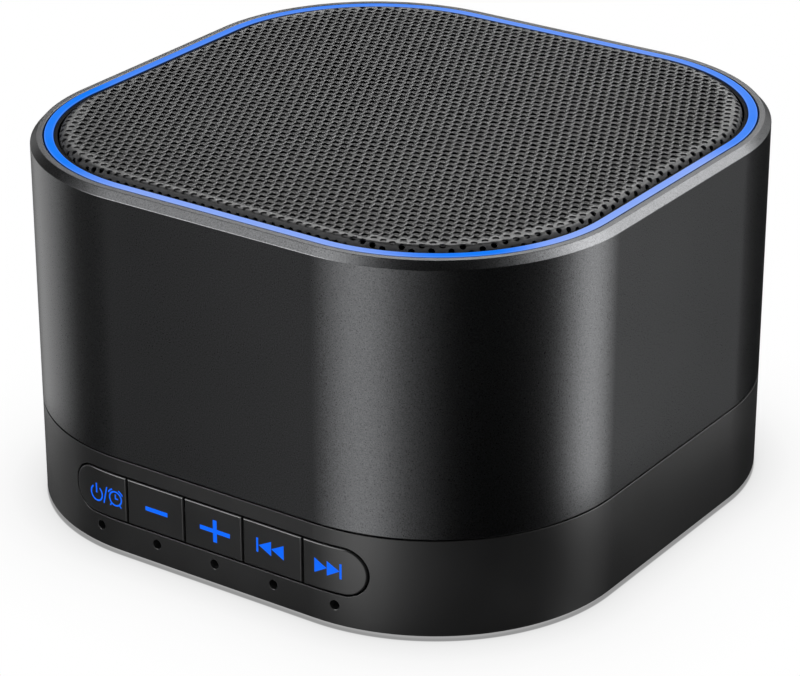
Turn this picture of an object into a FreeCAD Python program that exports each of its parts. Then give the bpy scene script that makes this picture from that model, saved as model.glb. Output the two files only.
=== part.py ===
import FreeCAD, Part
import math
import os

V = FreeCAD.Vector
os.makedirs("parts", exist_ok=True)

# White noise sound machine: a rounded-square box with a metal sleeve over a plastic base,
# a perforated grille with a glowing ring round it on top, and five buttons on the front.
# Millimetres. Origin at the middle of the footprint, on the surface that the feet stand on.
# +Z up, -Y is the front with the buttons, +Y is the rear with the sockets.
# An inset is a distance inwards from the outer wall, the same all the way round.

# ---- driving dimensions -------------------------------------------------------------
WIDTH = 100.0            # outer width and depth of the sleeve and base
CORNER_R = 31.7          # outer corner radius; the flats are 36.6 wide
FOOT_H = 0.7             # the base stands this far above the surface
SEAM_Z = 16.7            # bottom edge of the sleeve
SEAM_GAP = 0.25          # shadow groove between base and sleeve
SEAM_DEPTH = 0.8
RIM_Z = 60.0             # flat rim of the sleeve
RIM_CHAMFER_IN = 1.0     # outer chamfer of the rim, inwards
RIM_CHAMFER_DOWN = 1.1   # and downwards
SLEEVE_TOP_WALL = 2.0    # sleeve wall beside the light ring
SLEEVE_WALL = 2.8        # sleeve wall below the step
STEP_Z = 51.5            # step in the sleeve that the top frame bears on

BASE_WALL = 3.0
BASE_FLOOR_TOP = 2.8
BASE_EDGE_R = 0.3
EDGE_BREAK = 0.15        # small round on the outside edges of sleeve and sockets
FINE_BREAK = 0.06        # on the base's top edge and round the button window
HOLE_BREAK = 0.1
PANEL_DEEP = 0.3         # recess under the floor
SPIGOT_IN, SPIGOT_IN2 = 2.95, 4.6
SPIGOT_Z0, SPIGOT_Z1 = 14.95, 20.5

RING_OUT, RING_IN = 2.2, 3.6     # light ring, insets
RING_TOP = 60.05
RING_ROUND = 0.15
RING_BOTTOM = 54.8
RING_LIP_IN, RING_LIP_Z0, RING_LIP_Z1 = 6.4, 55.6, 56.4

GRILLE_OUT = 4.5         # inset of the grille's rolled edge
GRILLE_T = 0.3
GRILLE_TOP = 60.55
GRILLE_ROLL = 1.2
GRILLE_SKIRT_Z = 57.3
CLOTH_IN, CLOTH_T = 5.8, 0.15    # cloth stuck under the grille's sheet

FRAME_OUT = 3.7          # grille frame
FRAME_TOP, FRAME_BOTTOM = 58.0, 56.4
COLLAR_IN, COLLAR_TOP = 4.2, 59.75    # its collar hides the inner wall of the light ring
FRAME_HOLE_R = 31.0

PLATE_T = 2.0            # baffle of the top frame
PLATE_TOP = STEP_Z + PLATE_T

CASE_SCREW_XY = 30.0
POST_Z = 14.0            # case bosses below, posts of the top frame above
FRAME_SCREW_XY = 33.0

BTN_PITCH = 11.0
BTN_Z = 9.85
BTN_HALF_H = 3.75
BTN_END = 27.2           # half the length of the button strip
BTN_GAP = 0.3            # between two caps
BTN_WINDOW_GAP = 0.3
BTN_PROUD = 0.1
BTN_EDGE = 0.25
BTN_TRAVEL = 0.5
BTN_CENTRES = {"power": -22.0, "minus": -11.0, "plus": 0.0, "previous": 11.0, "next": 22.0}
LIP_OUT, LIP_T = 0.9, 1.0
HOLE_Z = 4.0             # indicator windows
HOLE_R = 0.75

KEY_BOARD_Y = -40.0      # front face of the key board
BOARD_Z0, BOARD_Z1 = 7.0, 8.6
PORT_Z = 10.9
USB_X, JACK_X = -9.0, 9.0
JACK_R = 1.78            # bore for a 3.5 mm plug
JACK_PROUD = 0.35        # the jack's barrel stands proud of the rear wall

DRIVER_FLANGE_R = 26.5
EAR_R = 30.4             # driver screws, from the middle
CONE_TRAVEL = 1.2

H = WIDTH / 2
FLAT = H - CORNER_R      # half the width of a flat


# ---- helpers ------------------------------------------------------------------------
def rsq_wire(inset, z):
    """Outline of the box at an inset: four lines and four tangent arcs."""
    h, r, f = H - inset, CORNER_R - inset, FLAT
    k = r * math.sqrt(0.5)
    e = [
        Part.makeLine(V(-f, -h, z), V(f, -h, z)),
        Part.Arc(V(f, -h, z), V(f + k, -f - k, z), V(h, -f, z)).toShape(),
        Part.makeLine(V(h, -f, z), V(h, f, z)),
        Part.Arc(V(h, f, z), V(f + k, f + k, z), V(f, h, z)).toShape(),
        Part.makeLine(V(f, h, z), V(-f, h, z)),
        Part.Arc(V(-f, h, z), V(-f - k, f + k, z), V(-h, f, z)).toShape(),
        Part.makeLine(V(-h, f, z), V(-h, -f, z)),
        Part.Arc(V(-h, -f, z), V(-f - k, -f - k, z), V(-f, -h, z)).toShape(),
    ]
    return Part.Wire(e)


def rsq(inset, z0, z1):
    return Part.Face(rsq_wire(inset, z0)).extrude(V(0, 0, z1 - z0))


def ring(i0, i1, z0, z1):
    return rsq(i0, z0, z1).cut(rsq(i1, z0 - 1, z1 + 1))


def box(x0, x1, y0, y1, z0, z1):
    return Part.makeBox(x1 - x0, y1 - y0, z1 - z0, V(x0, y0, z0))


def cyl(r, x, y, z0, z1):
    return Part.makeCylinder(r, z1 - z0, V(x, y, z0))


def cyl_y(r, x, z, y0, y1):
    return Part.makeCylinder(r, y1 - y0, V(x, y0, z), V(0, 1, 0))


def tube(r0, r1, z0, z1, x=0.0, y=0.0):
    """Ring of inner radius r0 and outer radius r1."""
    return cyl(r1, x, y, z0, z1).cut(cyl(r0, x, y, z0 - 1, z1 + 1))


def stadium_y(cx, cz, half_x, half_z, y0, y1):
    """A slot shape with round ends, extruded along Y."""
    if half_x - half_z < 1e-6:
        return cyl_y(half_z, cx, cz, y0, y1)
    a = half_x - half_z
    e = [
        Part.makeLine(V(cx - a, y0, cz - half_z), V(cx + a, y0, cz - half_z)),
        Part.Arc(V(cx + a, y0, cz - half_z), V(cx + half_x, y0, cz), V(cx + a, y0, cz + half_z)).toShape(),
        Part.makeLine(V(cx + a, y0, cz + half_z), V(cx - a, y0, cz + half_z)),
        Part.Arc(V(cx - a, y0, cz + half_z), V(cx - half_x, y0, cz), V(cx - a, y0, cz - half_z)).toShape(),
    ]
    return Part.Face(Part.Wire(e)).extrude(V(0, y1 - y0, 0))


def edges_where(shape, test):
    return [e for e in shape.Edges if test(e.BoundBox)]


def swept_ring(profile):
    """Closed profile of (inset, z, corner radius) points carried once round the outline of the box."""
    n = len(profile)
    cuts = []
    for k in range(n):
        p0, p1, p2 = (V(profile[j % n][0], profile[j % n][1], 0) for j in (k - 1, k, k + 1))
        r = profile[k][2]
        u, w = p0 - p1, p2 - p1
        u.normalize()
        w.normalize()
        if r <= 0:
            cuts.append((p1, None, p1))
            continue
        half = u.getAngle(w) / 2
        d, m = r / math.tan(half), u + w
        m.normalize()
        cuts.append((p1 + u * d, p1 + m * (r / math.sin(half) - r), p1 + w * d))
    put = lambda q: V(-FLAT, q.x - H, q.y)
    edges = []
    for k in range(n):
        s, mid, t = cuts[k]
        if mid is not None:
            edges.append(Part.Arc(put(s), put(mid), put(t)).toShape())
        edges.append(Part.makeLine(put(t), put(cuts[(k + 1) % n][0])))
    face = Part.Face(Part.Wire(edges))
    side = face.extrude(V(2 * FLAT, 0, 0))
    face.translate(V(2 * FLAT, 0, 0))
    corner = face.revolve(V(FLAT, -FLAT, 0), V(0, 0, 1), 90)
    quarter = [side, corner]
    out = None
    for k in range(4):
        for q in quarter:
            q = q.copy()
            q.rotate(V(0, 0, 0), V(0, 0, 1), 90 * k)
            out = q if out is None else out.fuse(q)
    return out.removeSplitter()


def on_wall(e, inset=0.0):
    """True if an edge lies in the vertical wall at that inset."""
    for t in (0.05, 0.35, 0.65, 0.95):
        p = e.valueAt(e.FirstParameter + (e.LastParameter - e.FirstParameter) * t)
        x, y = max(abs(p.x) - FLAT, 0), max(abs(p.y) - FLAT, 0)
        if abs(math.hypot(x, y) - (CORNER_R - inset)) > 0.004:
            return False
    return True


def soften(shape, radius, edges, what):
    """The shape with those edges rounded."""
    out = shape.makeFillet(radius, edges)
    assert out.isValid() and 0.98 * shape.Volume < out.Volume < 1.02 * shape.Volume, what
    print("rounded", len(edges), "edges of", what)
    return out


def flat_at(z, tol=1e-4):
    return lambda b: abs(b.ZMin - z) < tol and abs(b.ZMax - z) < tol


def revolve(points):
    """Solid of revolution about Z from (radius, height) points."""
    p = [V(r, 0, z) for r, z in points]
    w = Part.makePolygon(p + [p[0]])
    return Part.Face(w).revolve(V(0, 0, 0), V(0, 0, 1), 360)


def rounded_path(points, share=0.45):
    """Straight runs joined by tangent arcs through a list of points."""
    p = [V(*q) for q in points]
    edges, at = [], p[0]
    for a, b, c in zip(p, p[1:], p[2:]):
        u, w = (a - b), (c - b)
        lu, lw = u.Length, w.Length
        u.normalize()
        w.normalize()
        turn = math.pi - u.getAngle(w)
        if turn < 1e-6:
            continue
        d = share * min(lu, lw)
        r = d / math.tan(turn / 2)
        s, t = b + u * d, b + w * d
        m = (u + w)
        m.normalize()
        mid = b + m * (r / math.cos(turn / 2) - r)
        if (s - at).Length > 1e-6:
            edges.append(Part.makeLine(at, s))
        edges.append(Part.Arc(s, mid, t).toShape())
        at = t
        radii.append(round(r, 2))
    edges.append(Part.makeLine(at, p[-1]))
    return Part.Wire(edges)


def lead(points, r):
    path = rounded_path(points)
    p, q = V(*points[0]), V(*points[1])
    d = q - p
    d.normalize()
    prof = Part.Wire([Part.Circle(p, d, r).toShape()])
    solid = path.makePipeShell([prof], True, False)
    want = math.pi * r * r * path.Length
    print("lead volume against section times length", round(solid.Volume, 2), round(want, 2))
    return solid


def export(name, shape):
    solids = shape.Solids
    assert solids, name
    for s in solids:
        assert s.isValid() and s.isClosed() and s.Volume > 0, name
    out = solids[0] if len(solids) == 1 else Part.Compound(solids)
    out.exportStep("parts/%s.step" % name)
    made.append(name)
    b = out.BoundBox
    print("%-26s %2d solid(s) %10.2f mm3  x %7.2f %7.2f  y %7.2f %7.2f  z %6.2f %6.2f" % (
        name, len(solids), out.Volume, b.XMin, b.XMax, b.YMin, b.YMax, b.ZMin, b.ZMax))


made, radii = [], []
FOUR = [(sx, sy) for sx in (-1, 1) for sy in (-1, 1)]

# ---- sleeve: dark metal tube, thinner above a step, with a chamfered rim ------------------
sleeve = swept_ring([
    (0, SEAM_Z, EDGE_BREAK), (0, RIM_Z - RIM_CHAMFER_DOWN, 0.2), (RIM_CHAMFER_IN, RIM_Z, 0.2), (SLEEVE_TOP_WALL, RIM_Z, EDGE_BREAK),
    (SLEEVE_TOP_WALL, STEP_Z, 0), (SLEEVE_WALL, STEP_Z, EDGE_BREAK), (SLEEVE_WALL, SEAM_Z, EDGE_BREAK)])
export("sleeve", sleeve)

# ---- base housing: plastic tub with a spigot that locates the sleeve ----------------------
tub = rsq(0, FOOT_H, SEAM_Z - SEAM_GAP)
tub = tub.makeFillet(BASE_EDGE_R, edges_where(tub, flat_at(FOOT_H)))
tub = tub.makeFillet(FINE_BREAK, edges_where(tub, flat_at(SEAM_Z - SEAM_GAP)))
tub = tub.cut(rsq(BASE_WALL, BASE_FLOOR_TOP, SEAM_Z + 1))
# button window, following the curve of the wall at its ends, and the indicator holes
tub = tub.cut(stadium_y(0, BTN_Z, BTN_END + BTN_WINDOW_GAP, BTN_HALF_H + BTN_WINDOW_GAP, -53, -43.5))
for x in BTN_CENTRES.values():
    tub = tub.cut(cyl_y(HOLE_R, x, HOLE_Z, -53, -44))
# rear: recessed slot for the charging socket and a hole for the headphone jack
tub = tub.cut(stadium_y(USB_X, PORT_Z, 4.75, 1.95, 44, 53))
tub = tub.cut(stadium_y(USB_X, PORT_Z, 6.4, 3.6, H - 0.7, 53))
tub = tub.cut(cyl_y(3.1, JACK_X, PORT_Z, 44, 53))
tub = soften(tub, FINE_BREAK, [e for e in tub.Edges if on_wall(e) and e.BoundBox.YMax < 0 and e.BoundBox.ZMin > 5.0
                               and e.BoundBox.ZMax < 14.5 and abs(e.BoundBox.Center.x) < 29], "the button window")
tub = soften(tub, HOLE_BREAK, [e for e in tub.Edges if on_wall(e) and e.BoundBox.YMax < 0 and e.BoundBox.ZMin > 3.0
                               and e.BoundBox.ZMax < 5.0], "the indicator holes")
tub = soften(tub, EDGE_BREAK, [e for e in tub.Edges if on_wall(e) and e.BoundBox.YMin > 0 and e.BoundBox.ZMin > 7.0
                               and e.BoundBox.ZMax < 14.9 and abs(e.BoundBox.Center.x) < 17], "the rear openings")
tub = tub.fuse(ring(SEAM_DEPTH, BASE_WALL, SEAM_Z - SEAM_GAP - 0.5, SEAM_Z))
tub = tub.fuse(ring(SPIGOT_IN, SPIGOT_IN2, SPIGOT_Z0, SPIGOT_Z1))
for sx, sy in FOUR:
    x, y = sx * CASE_SCREW_XY, sy * CASE_SCREW_XY
    tub = tub.fuse(cyl(4.5, x, y, BASE_FLOOR_TOP - 0.5, POST_Z))
BOARD_BOSSES = [(-20, 10), (20, 10), (-20, 38), (20, 38)]
for x, y in BOARD_BOSSES:
    tub = tub.fuse(cyl(2.6, x, y, BASE_FLOOR_TOP - 0.5, BOARD_Z0))
for sx in (-1, 1):                                   # battery pocket ribs
    tub = tub.fuse(box(*sorted((sx * 25.4, sx * 26.6)), -22, -4, BASE_FLOOR_TOP - 0.5, 8.0))
    for y0, y1 in ((-41.5, -40.1), (-38.7, -37.3)):  # slots for the key board's ends
        tub = tub.fuse(box(*sorted((sx * 28.4, sx * 30.8)), y0, y1, BASE_FLOOR_TOP - 0.5, 12.0))
for sx, sy in FOUR:
    x, y = sx * CASE_SCREW_XY, sy * CASE_SCREW_XY
    tub = tub.cut(cyl(6.2, x, y, FOOT_H - 1, 1.8))   # foot recess
    tub = tub.cut(cyl(3.1, x, y, 1.0, 6.0))          # screw head
    tub = tub.cut(cyl(1.6, x, y, 5.0, POST_Z + 1))
for x, y in BOARD_BOSSES:
    tub = tub.cut(cyl(0.9, x, y, 4.0, BOARD_Z0 + 1))
# bare recess under the floor, with rounded corners
panel = box(-23, 23, -13, 13, FOOT_H - 1, FOOT_H + PANEL_DEEP)
panel = panel.makeFillet(3.0, edges_where(panel, lambda b: b.ZLength > 1))
tub = tub.cut(panel)
tub = soften(tub, EDGE_BREAK, [e for e in tub.Edges if flat_at(FOOT_H)(e.BoundBox) and abs(e.BoundBox.XMin) < 23.1
                               and abs(e.BoundBox.XMax) < 23.1 and abs(e.BoundBox.YMin) < 13.1 and abs(e.BoundBox.YMax) < 13.1],
             "the recess under the floor")
export("base_housing", tub.removeSplitter())

# ---- rubber feet and case screws ------------------------------------------------------------
feet, screws = [], []
for sx, sy in FOUR:
    x, y = sx * CASE_SCREW_XY, sy * CASE_SCREW_XY
    f = cyl(6.0, x, y, 0, 1.8)
    feet.append(f.makeFillet(0.35, edges_where(f, flat_at(0))))
    s = cyl(2.8, x, y, 3.9, 6.0).fuse(cyl(1.25, x, y, 5.5, 24.0))
    s = s.cut(box(x - 1.9, x + 1.9, y - 0.35, y + 0.35, 3.0, 5.0)).cut(box(x - 0.35, x + 0.35, y - 1.9, y + 1.9, 3.0, 5.0))
    screws.append(s.removeSplitter())
export("rubber_feet", Part.Compound(feet))
export("case_screws", Part.Compound(screws))

# ---- top frame: speaker baffle with posts, drops in from above on to the sleeve's step -------
top = rsq(2.15, STEP_Z, PLATE_TOP)
top = top.fuse(ring(2.95, 4.5, STEP_Z - 4.0, STEP_Z + 0.5))
top = top.fuse(ring(5.2, 6.6, PLATE_TOP - 0.5, RING_LIP_Z0))
for sx, sy in FOUR:
    x, y = sx * CASE_SCREW_XY, sy * CASE_SCREW_XY
    top = top.fuse(cyl(4.2, x, y, POST_Z, STEP_Z + 0.5))
    top = top.fuse(cyl(3.0, sx * FRAME_SCREW_XY, sy * FRAME_SCREW_XY, PLATE_TOP - 0.5, FRAME_BOTTOM))
    e = EAR_R * math.sqrt(0.5)
    top = top.fuse(cyl(2.6, sx * e, sy * e, 45.5, STEP_Z + 0.5))
top = top.cut(cyl(23.6, 0, 0, STEP_Z - 1, PLATE_TOP + 1))
for sx, sy in FOUR:
    top = top.cut(cyl(1.25, sx * CASE_SCREW_XY, sy * CASE_SCREW_XY, POST_Z - 1, 26.0))
    top = top.cut(cyl(0.9, sx * FRAME_SCREW_XY, sy * FRAME_SCREW_XY, 50.0, FRAME_BOTTOM + 1))
    top = top.cut(cyl(1.1, sx * e, sy * e, 46.5, PLATE_TOP + 1))
LED_LEAD_X = -16.0
top = top.cut(cyl(1.8, LED_LEAD_X, 43.5, STEP_Z - 5, PLATE_TOP + 1))
top = top.cut(box(LED_LEAD_X - 1.6, LED_LEAD_X + 1.6, 43.0, 45.6, PLATE_TOP, FRAME_BOTTOM + 1))  # notch in the upstand
export("top_frame", top.removeSplitter())

# ---- light: strip with its packages, and the ring that carries the light to the rim -----------
strip = ring(2.4, 5.1, PLATE_TOP, PLATE_TOP + 0.3).fuse(        # with the tab that its leads are soldered to
    box(LED_LEAD_X - 1.4, LED_LEAD_X + 1.4, 42.6, 45.2, PLATE_TOP, PLATE_TOP + 0.3))
export("led_strip", strip.removeSplitter())
chips, n, inset = [], 36, 3.05
straight, corner = 2 * FLAT, (CORNER_R - inset) * math.pi / 2
total = 4 * (straight + corner)
for k in range(n):
    s = (k + 0.5) * total / n
    side = int(s // (straight + corner))
    s -= side * (straight + corner)
    if s < straight:
        x, y, turn = -FLAT + s, -(H - inset), 0.0
    else:
        turn = (s - straight) / (CORNER_R - inset)
        x = FLAT + (CORNER_R - inset) * math.sin(turn)
        y = -FLAT - (CORNER_R - inset) * math.cos(turn)
    c = Part.makeBox(1.6, 1.5, 0.7, V(-0.8, -0.75, PLATE_TOP + 0.3))
    c.rotate(V(0, 0, 0), V(0, 0, 1), math.degrees(turn))
    c.translate(V(x, y, 0))
    c.rotate(V(0, 0, 0), V(0, 0, 1), 90 * side)
    chips.append(c)
export("led_chips", Part.Compound(chips))

band = ring(RING_OUT, RING_IN, RING_BOTTOM, RING_TOP)
band = band.makeFillet(RING_ROUND, edges_where(band, flat_at(RING_TOP)))
band = band.fuse(ring(RING_IN - 0.3, RING_LIP_IN, RING_LIP_Z0, RING_LIP_Z1))
export("light_ring", band.removeSplitter())

# ---- grille frame, its screws and the grille ---------------------------------------------------
gf = rsq(FRAME_OUT, FRAME_BOTTOM, FRAME_TOP).fuse(ring(FRAME_OUT, COLLAR_IN, FRAME_TOP - 0.5, COLLAR_TOP))
gf = gf.cut(cyl(FRAME_HOLE_R, 0, 0, FRAME_BOTTOM - 1, FRAME_TOP + 1))
gf = gf.cut(ring(GRILLE_OUT - 0.1, GRILLE_OUT + GRILLE_T + 0.1, FRAME_TOP - 0.8, FRAME_TOP + 1))
gscrews = []
for sx, sy in FOUR:
    x, y = sx * FRAME_SCREW_XY, sy * FRAME_SCREW_XY
    gf = gf.cut(cyl(1.1, x, y, FRAME_BOTTOM - 1, FRAME_TOP + 1))
    s = cyl(1.9, x, y, FRAME_TOP, FRAME_TOP + 1.2).fuse(cyl(0.9, x, y, 51.0, FRAME_TOP + 0.5))
    s = s.cut(box(x - 1.3, x + 1.3, y - 0.25, y + 0.25, FRAME_TOP + 0.6, 60)).cut(
        box(x - 0.25, x + 0.25, y - 1.3, y + 1.3, FRAME_TOP + 0.6, 60))
    gscrews.append(s.removeSplitter())
export("grille_frame", gf.removeSplitter())
export("grille_frame_screws", Part.Compound(gscrews))

go = rsq(GRILLE_OUT, GRILLE_SKIRT_Z, GRILLE_TOP)
go = go.makeFillet(GRILLE_ROLL, edges_where(go, flat_at(GRILLE_TOP)))
gi = rsq(GRILLE_OUT + GRILLE_T, GRILLE_SKIRT_Z - 1, GRILLE_TOP - GRILLE_T)
gi = gi.makeFillet(GRILLE_ROLL - GRILLE_T, edges_where(gi, flat_at(GRILLE_TOP - GRILLE_T)))
export("grille", go.cut(gi))
export("grille_cloth", rsq(CLOTH_IN, GRILLE_TOP - GRILLE_T - CLOTH_T, GRILLE_TOP - GRILLE_T))

# ---- speaker driver, bottom to top -------------------------------------------------------------
yoke = cyl(15.5, 0, 0, 26.4, 29.4).fuse(cyl(6.1, 0, 0, 29.0, 40.4)).cut(cyl(1.6, 0, 0, 20, 50))
export("magnet_yoke", yoke.removeSplitter())
export("ring_magnet", tube(9.0, 16.5, 29.4, 37.4))
export("front_plate", tube(7.6, 15.5, 37.4, 40.4))
basket = revolve([(10.0, 40.4), (17.9, 40.4), (23.3, 53.5), (DRIVER_FLANGE_R, 53.5), (DRIVER_FLANGE_R, 54.5),
                  (22.6, 54.5), (17.3, 41.2), (10.0, 41.2)])
basket = basket.fuse(revolve([(16.2, 43.0), (18.6, 43.0), (18.9, 43.8), (16.2, 43.8)]))
for k in range(4):
    a = 45 + 90 * k
    w = box(12, 30, -7, 7, 45.0, 52.3)
    w.rotate(V(0, 0, 0), V(0, 0, 1), a)
    basket = basket.cut(w)
    ear = cyl(3.2, EAR_R, 0, 53.5, 54.5).fuse(box(24.0, EAR_R, -3.2, 3.2, 53.5, 54.5))
    ear = ear.cut(cyl(1.4, EAR_R, 0, 50, 60))
    ear.rotate(V(0, 0, 0), V(0, 0, 1), a)
    basket = basket.fuse(ear)
export("speaker_basket", basket.removeSplitter())
plate = box(-5, 5, 17.5, 21.4, 45.6, 50.6).cut(revolve([(0, 40), (17.9 + 0.05, 40.4), (23.3 + 0.05, 53.5), (0, 53.5)]))
lugs = [box(x - 0.9, x + 0.9, 21.4, 23.6, 46.2, 46.7) for x in (-2.4, 2.4)]
term = plate
for g in lugs:
    term = term.fuse(g)
export("speaker_terminals", term.removeSplitter())
export("spider", revolve([(6.75, 44.2), (8.0, 44.2), (9.0, 44.8), (10.2, 43.9), (11.4, 44.8), (12.6, 43.9), (13.8, 44.8),
                          (15.0, 43.8), (18.0, 43.8), (18.0, 44.1), (15.2, 44.1), (13.8, 45.1), (12.6, 44.2), (11.4, 45.1),
                          (10.2, 44.2), (9.0, 45.1), (7.9, 44.5), (6.75, 44.5)]))
coil = tube(6.4, 6.65, 36.2, 47.6).fuse(tube(6.6, 7.3, 36.4, 41.4))
export("voice_coil", coil.removeSplitter())
export("speaker_cone", revolve([(6.7, 46.7), (8.0, 47.1), (17.4, 51.9), (18.9, 51.95), (18.9, 52.3), (17.2, 52.3),
                                (7.8, 47.55), (6.7, 47.2)]))
dome = [(8.35 * math.sin(t), 47.85 + 2.6 * math.cos(t)) for t in [math.pi / 2 * k / 10 for k in range(11)]]
dome_in = [(8.0 * math.sin(t), 47.85 + 2.3 * math.cos(t)) for t in [math.pi / 2 * k / 10 for k in range(10, -1, -1)]]
export("dust_cap", revolve(dome + dome_in))
roll_mid, roll_r = 20.8, 1.9
arc_out = [(roll_mid + roll_r * math.cos(t), 54.9 + roll_r * math.sin(t)) for t in [math.pi * k / 12 for k in range(13)]]
arc_in = [(roll_mid + (roll_r - 0.4) * math.cos(t), 54.9 + (roll_r - 0.4) * math.sin(t)) for t in
          [math.pi * k / 12 for k in range(12, -1, -1)]]
surround = revolve([(25.8, 54.5), (25.8, 54.9)] + arc_out + [(18.9, 52.7), (17.4, 52.7), (17.4, 52.32), (19.3, 52.32)] +
                   arc_in + [(22.3, 54.5)])
export("speaker_surround", surround)
export("speaker_gasket", tube(24.0, 26.3, 54.9, 55.6))
dscrews = []
for sx, sy in FOUR:
    x, y = sx * e, sy * e
    s = cyl(2.4, x, y, 54.5, 55.9).fuse(cyl(1.1, x, y, 47.5, 55.0))
    s = s.cut(box(x - 1.6, x + 1.6, y - 0.3, y + 0.3, 55.2, 60)).cut(box(x - 0.3, x + 0.3, y - 1.6, y + 1.6, 55.2, 60))
    dscrews.append(s.removeSplitter())
export("speaker_screws", Part.Compound(dscrews))

# ---- main board and what is on it ----------------------------------------------------------------
pcb = box(-24, 24, 4, 45.8, BOARD_Z0, BOARD_Z1)
for x, y in BOARD_BOSSES:
    pcb = pcb.cut(cyl(1.2, x, y, 0, 20))
export("main_board", pcb)
bscrews = []
for x, y in BOARD_BOSSES:
    s = cyl(1.9, x, y, BOARD_Z1, BOARD_Z1 + 1.3).fuse(cyl(0.9, x, y, 4.5, BOARD_Z1 + 0.5))
    s = s.cut(box(x - 1.3, x + 1.3, y - 0.25, y + 0.25, BOARD_Z1 + 0.7, 20)).cut(
        box(x - 0.25, x + 0.25, y - 1.3, y + 1.3, BOARD_Z1 + 0.7, 20))
    bscrews.append(s.removeSplitter())
export("board_screws", Part.Compound(bscrews))
export("processor_chip", box(-8.5, 0.5, 18.5, 27.5, BOARD_Z1, BOARD_Z1 + 1.3))
export("amplifier_chip", box(10.5, 16.5, 9.0, 14.0, BOARD_Z1, BOARD_Z1 + 1.5))
ind = box(-20, -14, 19, 25, BOARD_Z1, BOARD_Z1 + 3.0)
export("power_inductor", ind.makeFillet(0.8, edges_where(ind, lambda b: b.ZLength > 2.9)))
export("filter_capacitors", Part.Compound([cyl(2.5, 16, 21, BOARD_Z1, 14.4), cyl(2.5, 16, 28, BOARD_Z1, 14.4)]))
SPK_C, BAT_C, LED_C = (2.4, 13.0), (-9.0, 7.0), (LED_LEAD_X, 33.0)
conn = []
for cx, cy, w in ((SPK_C[0], SPK_C[1], 8.4), (BAT_C[0], BAT_C[1], 6.0), (LED_C[0], LED_C[1], 6.0)):
    conn.append(box(cx - w / 2, cx + w / 2, cy - 2.2, cy + 2.2, BOARD_Z1, 13.6))
export("lead_connectors", Part.Compound(conn))

shell = stadium_y(USB_X, PORT_Z, 4.47, 1.63, 41.0, H - 0.7)
shell = shell.cut(stadium_y(USB_X, PORT_Z, 4.17, 1.28, 42.0, H + 1))
shell = soften(shell, 0.12, [e for e in shell.Edges if abs(e.BoundBox.YMin - (H - 0.7)) < 1e-4 and abs(e.BoundBox.YMax - (H - 0.7)) < 1e-4],
               "the charging socket's mouth")
for sx in (-1, 1):
    shell = shell.fuse(box(USB_X + sx * 3.2 - 0.6, USB_X + sx * 3.2 + 0.6, 42.5, 44.5, BOARD_Z1, PORT_Z - 1.5))
export("charging_socket_shell", shell.removeSplitter())
tongue = box(USB_X - 3.3, USB_X + 3.3, 42.0, 48.7, PORT_Z - 0.35, PORT_Z + 0.35)
export("charging_socket_tongue", soften(tongue, 0.2, [e for e in tongue.Edges if e.BoundBox.YMin > 48.6], "the socket's tongue"))
jack = box(JACK_X - 3.1, JACK_X + 3.1, 35.0, 46.9, BOARD_Z1, PORT_Z + 2.5)
barrel = cyl_y(2.95, JACK_X, PORT_Z, 46.0, H + JACK_PROUD)
barrel = soften(barrel, 0.25, [e for e in barrel.Edges if e.BoundBox.YMin > H and e.BoundBox.XLength > 5], "the jack's rim")
jack = jack.fuse(barrel).cut(cyl_y(JACK_R, JACK_X, PORT_Z, 36.4, H + 1))
export("headphone_jack", jack.removeSplitter())

# ---- battery ----------------------------------------------------------------------------------------
cell = box(-25, 25, -35.5, -1.5, 3.6, 12.6)
cell = cell.makeFillet(2.0, edges_where(cell, lambda b: b.XLength > 49))
export("battery_cell", cell)
export("battery_foam", box(-20, 20, -31, -6, BASE_FLOOR_TOP, 3.6))

# ---- key board, switches, caps, light pipe -----------------------------------------------------------
export("key_board", box(-30, 30, KEY_BOARD_Y, KEY_BOARD_Y + 1.2, 3.0, 15.2))
bodies = []
for x in BTN_CENTRES.values():
    b = box(x - 3, x + 3, KEY_BOARD_Y - 3.5, KEY_BOARD_Y, BTN_Z - 3, BTN_Z + 3)
    bodies.append(b.cut(cyl_y(2.0, x, BTN_Z, KEY_BOARD_Y - 4, KEY_BOARD_Y - 1.2)))
export("switch_bodies", Part.Compound(bodies))
export("indicator_leds", Part.Compound(
    [box(x - 0.8, x + 0.8, KEY_BOARD_Y - 0.6, KEY_BOARD_Y, HOLE_Z - 0.45, HOLE_Z + 0.45) for x in BTN_CENTRES.values()]))
pipe = box(-24, 24, -46.0, -44.8, HOLE_Z - 0.65, HOLE_Z + 0.65)
for x in BTN_CENTRES.values():
    front = -48.4 if abs(x) < 20 else -48.2
    pipe = pipe.fuse(cyl_y(0.65, x, HOLE_Z, front, KEY_BOARD_Y - 0.8))
export("indicator_light_pipe", pipe.removeSplitter())

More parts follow.
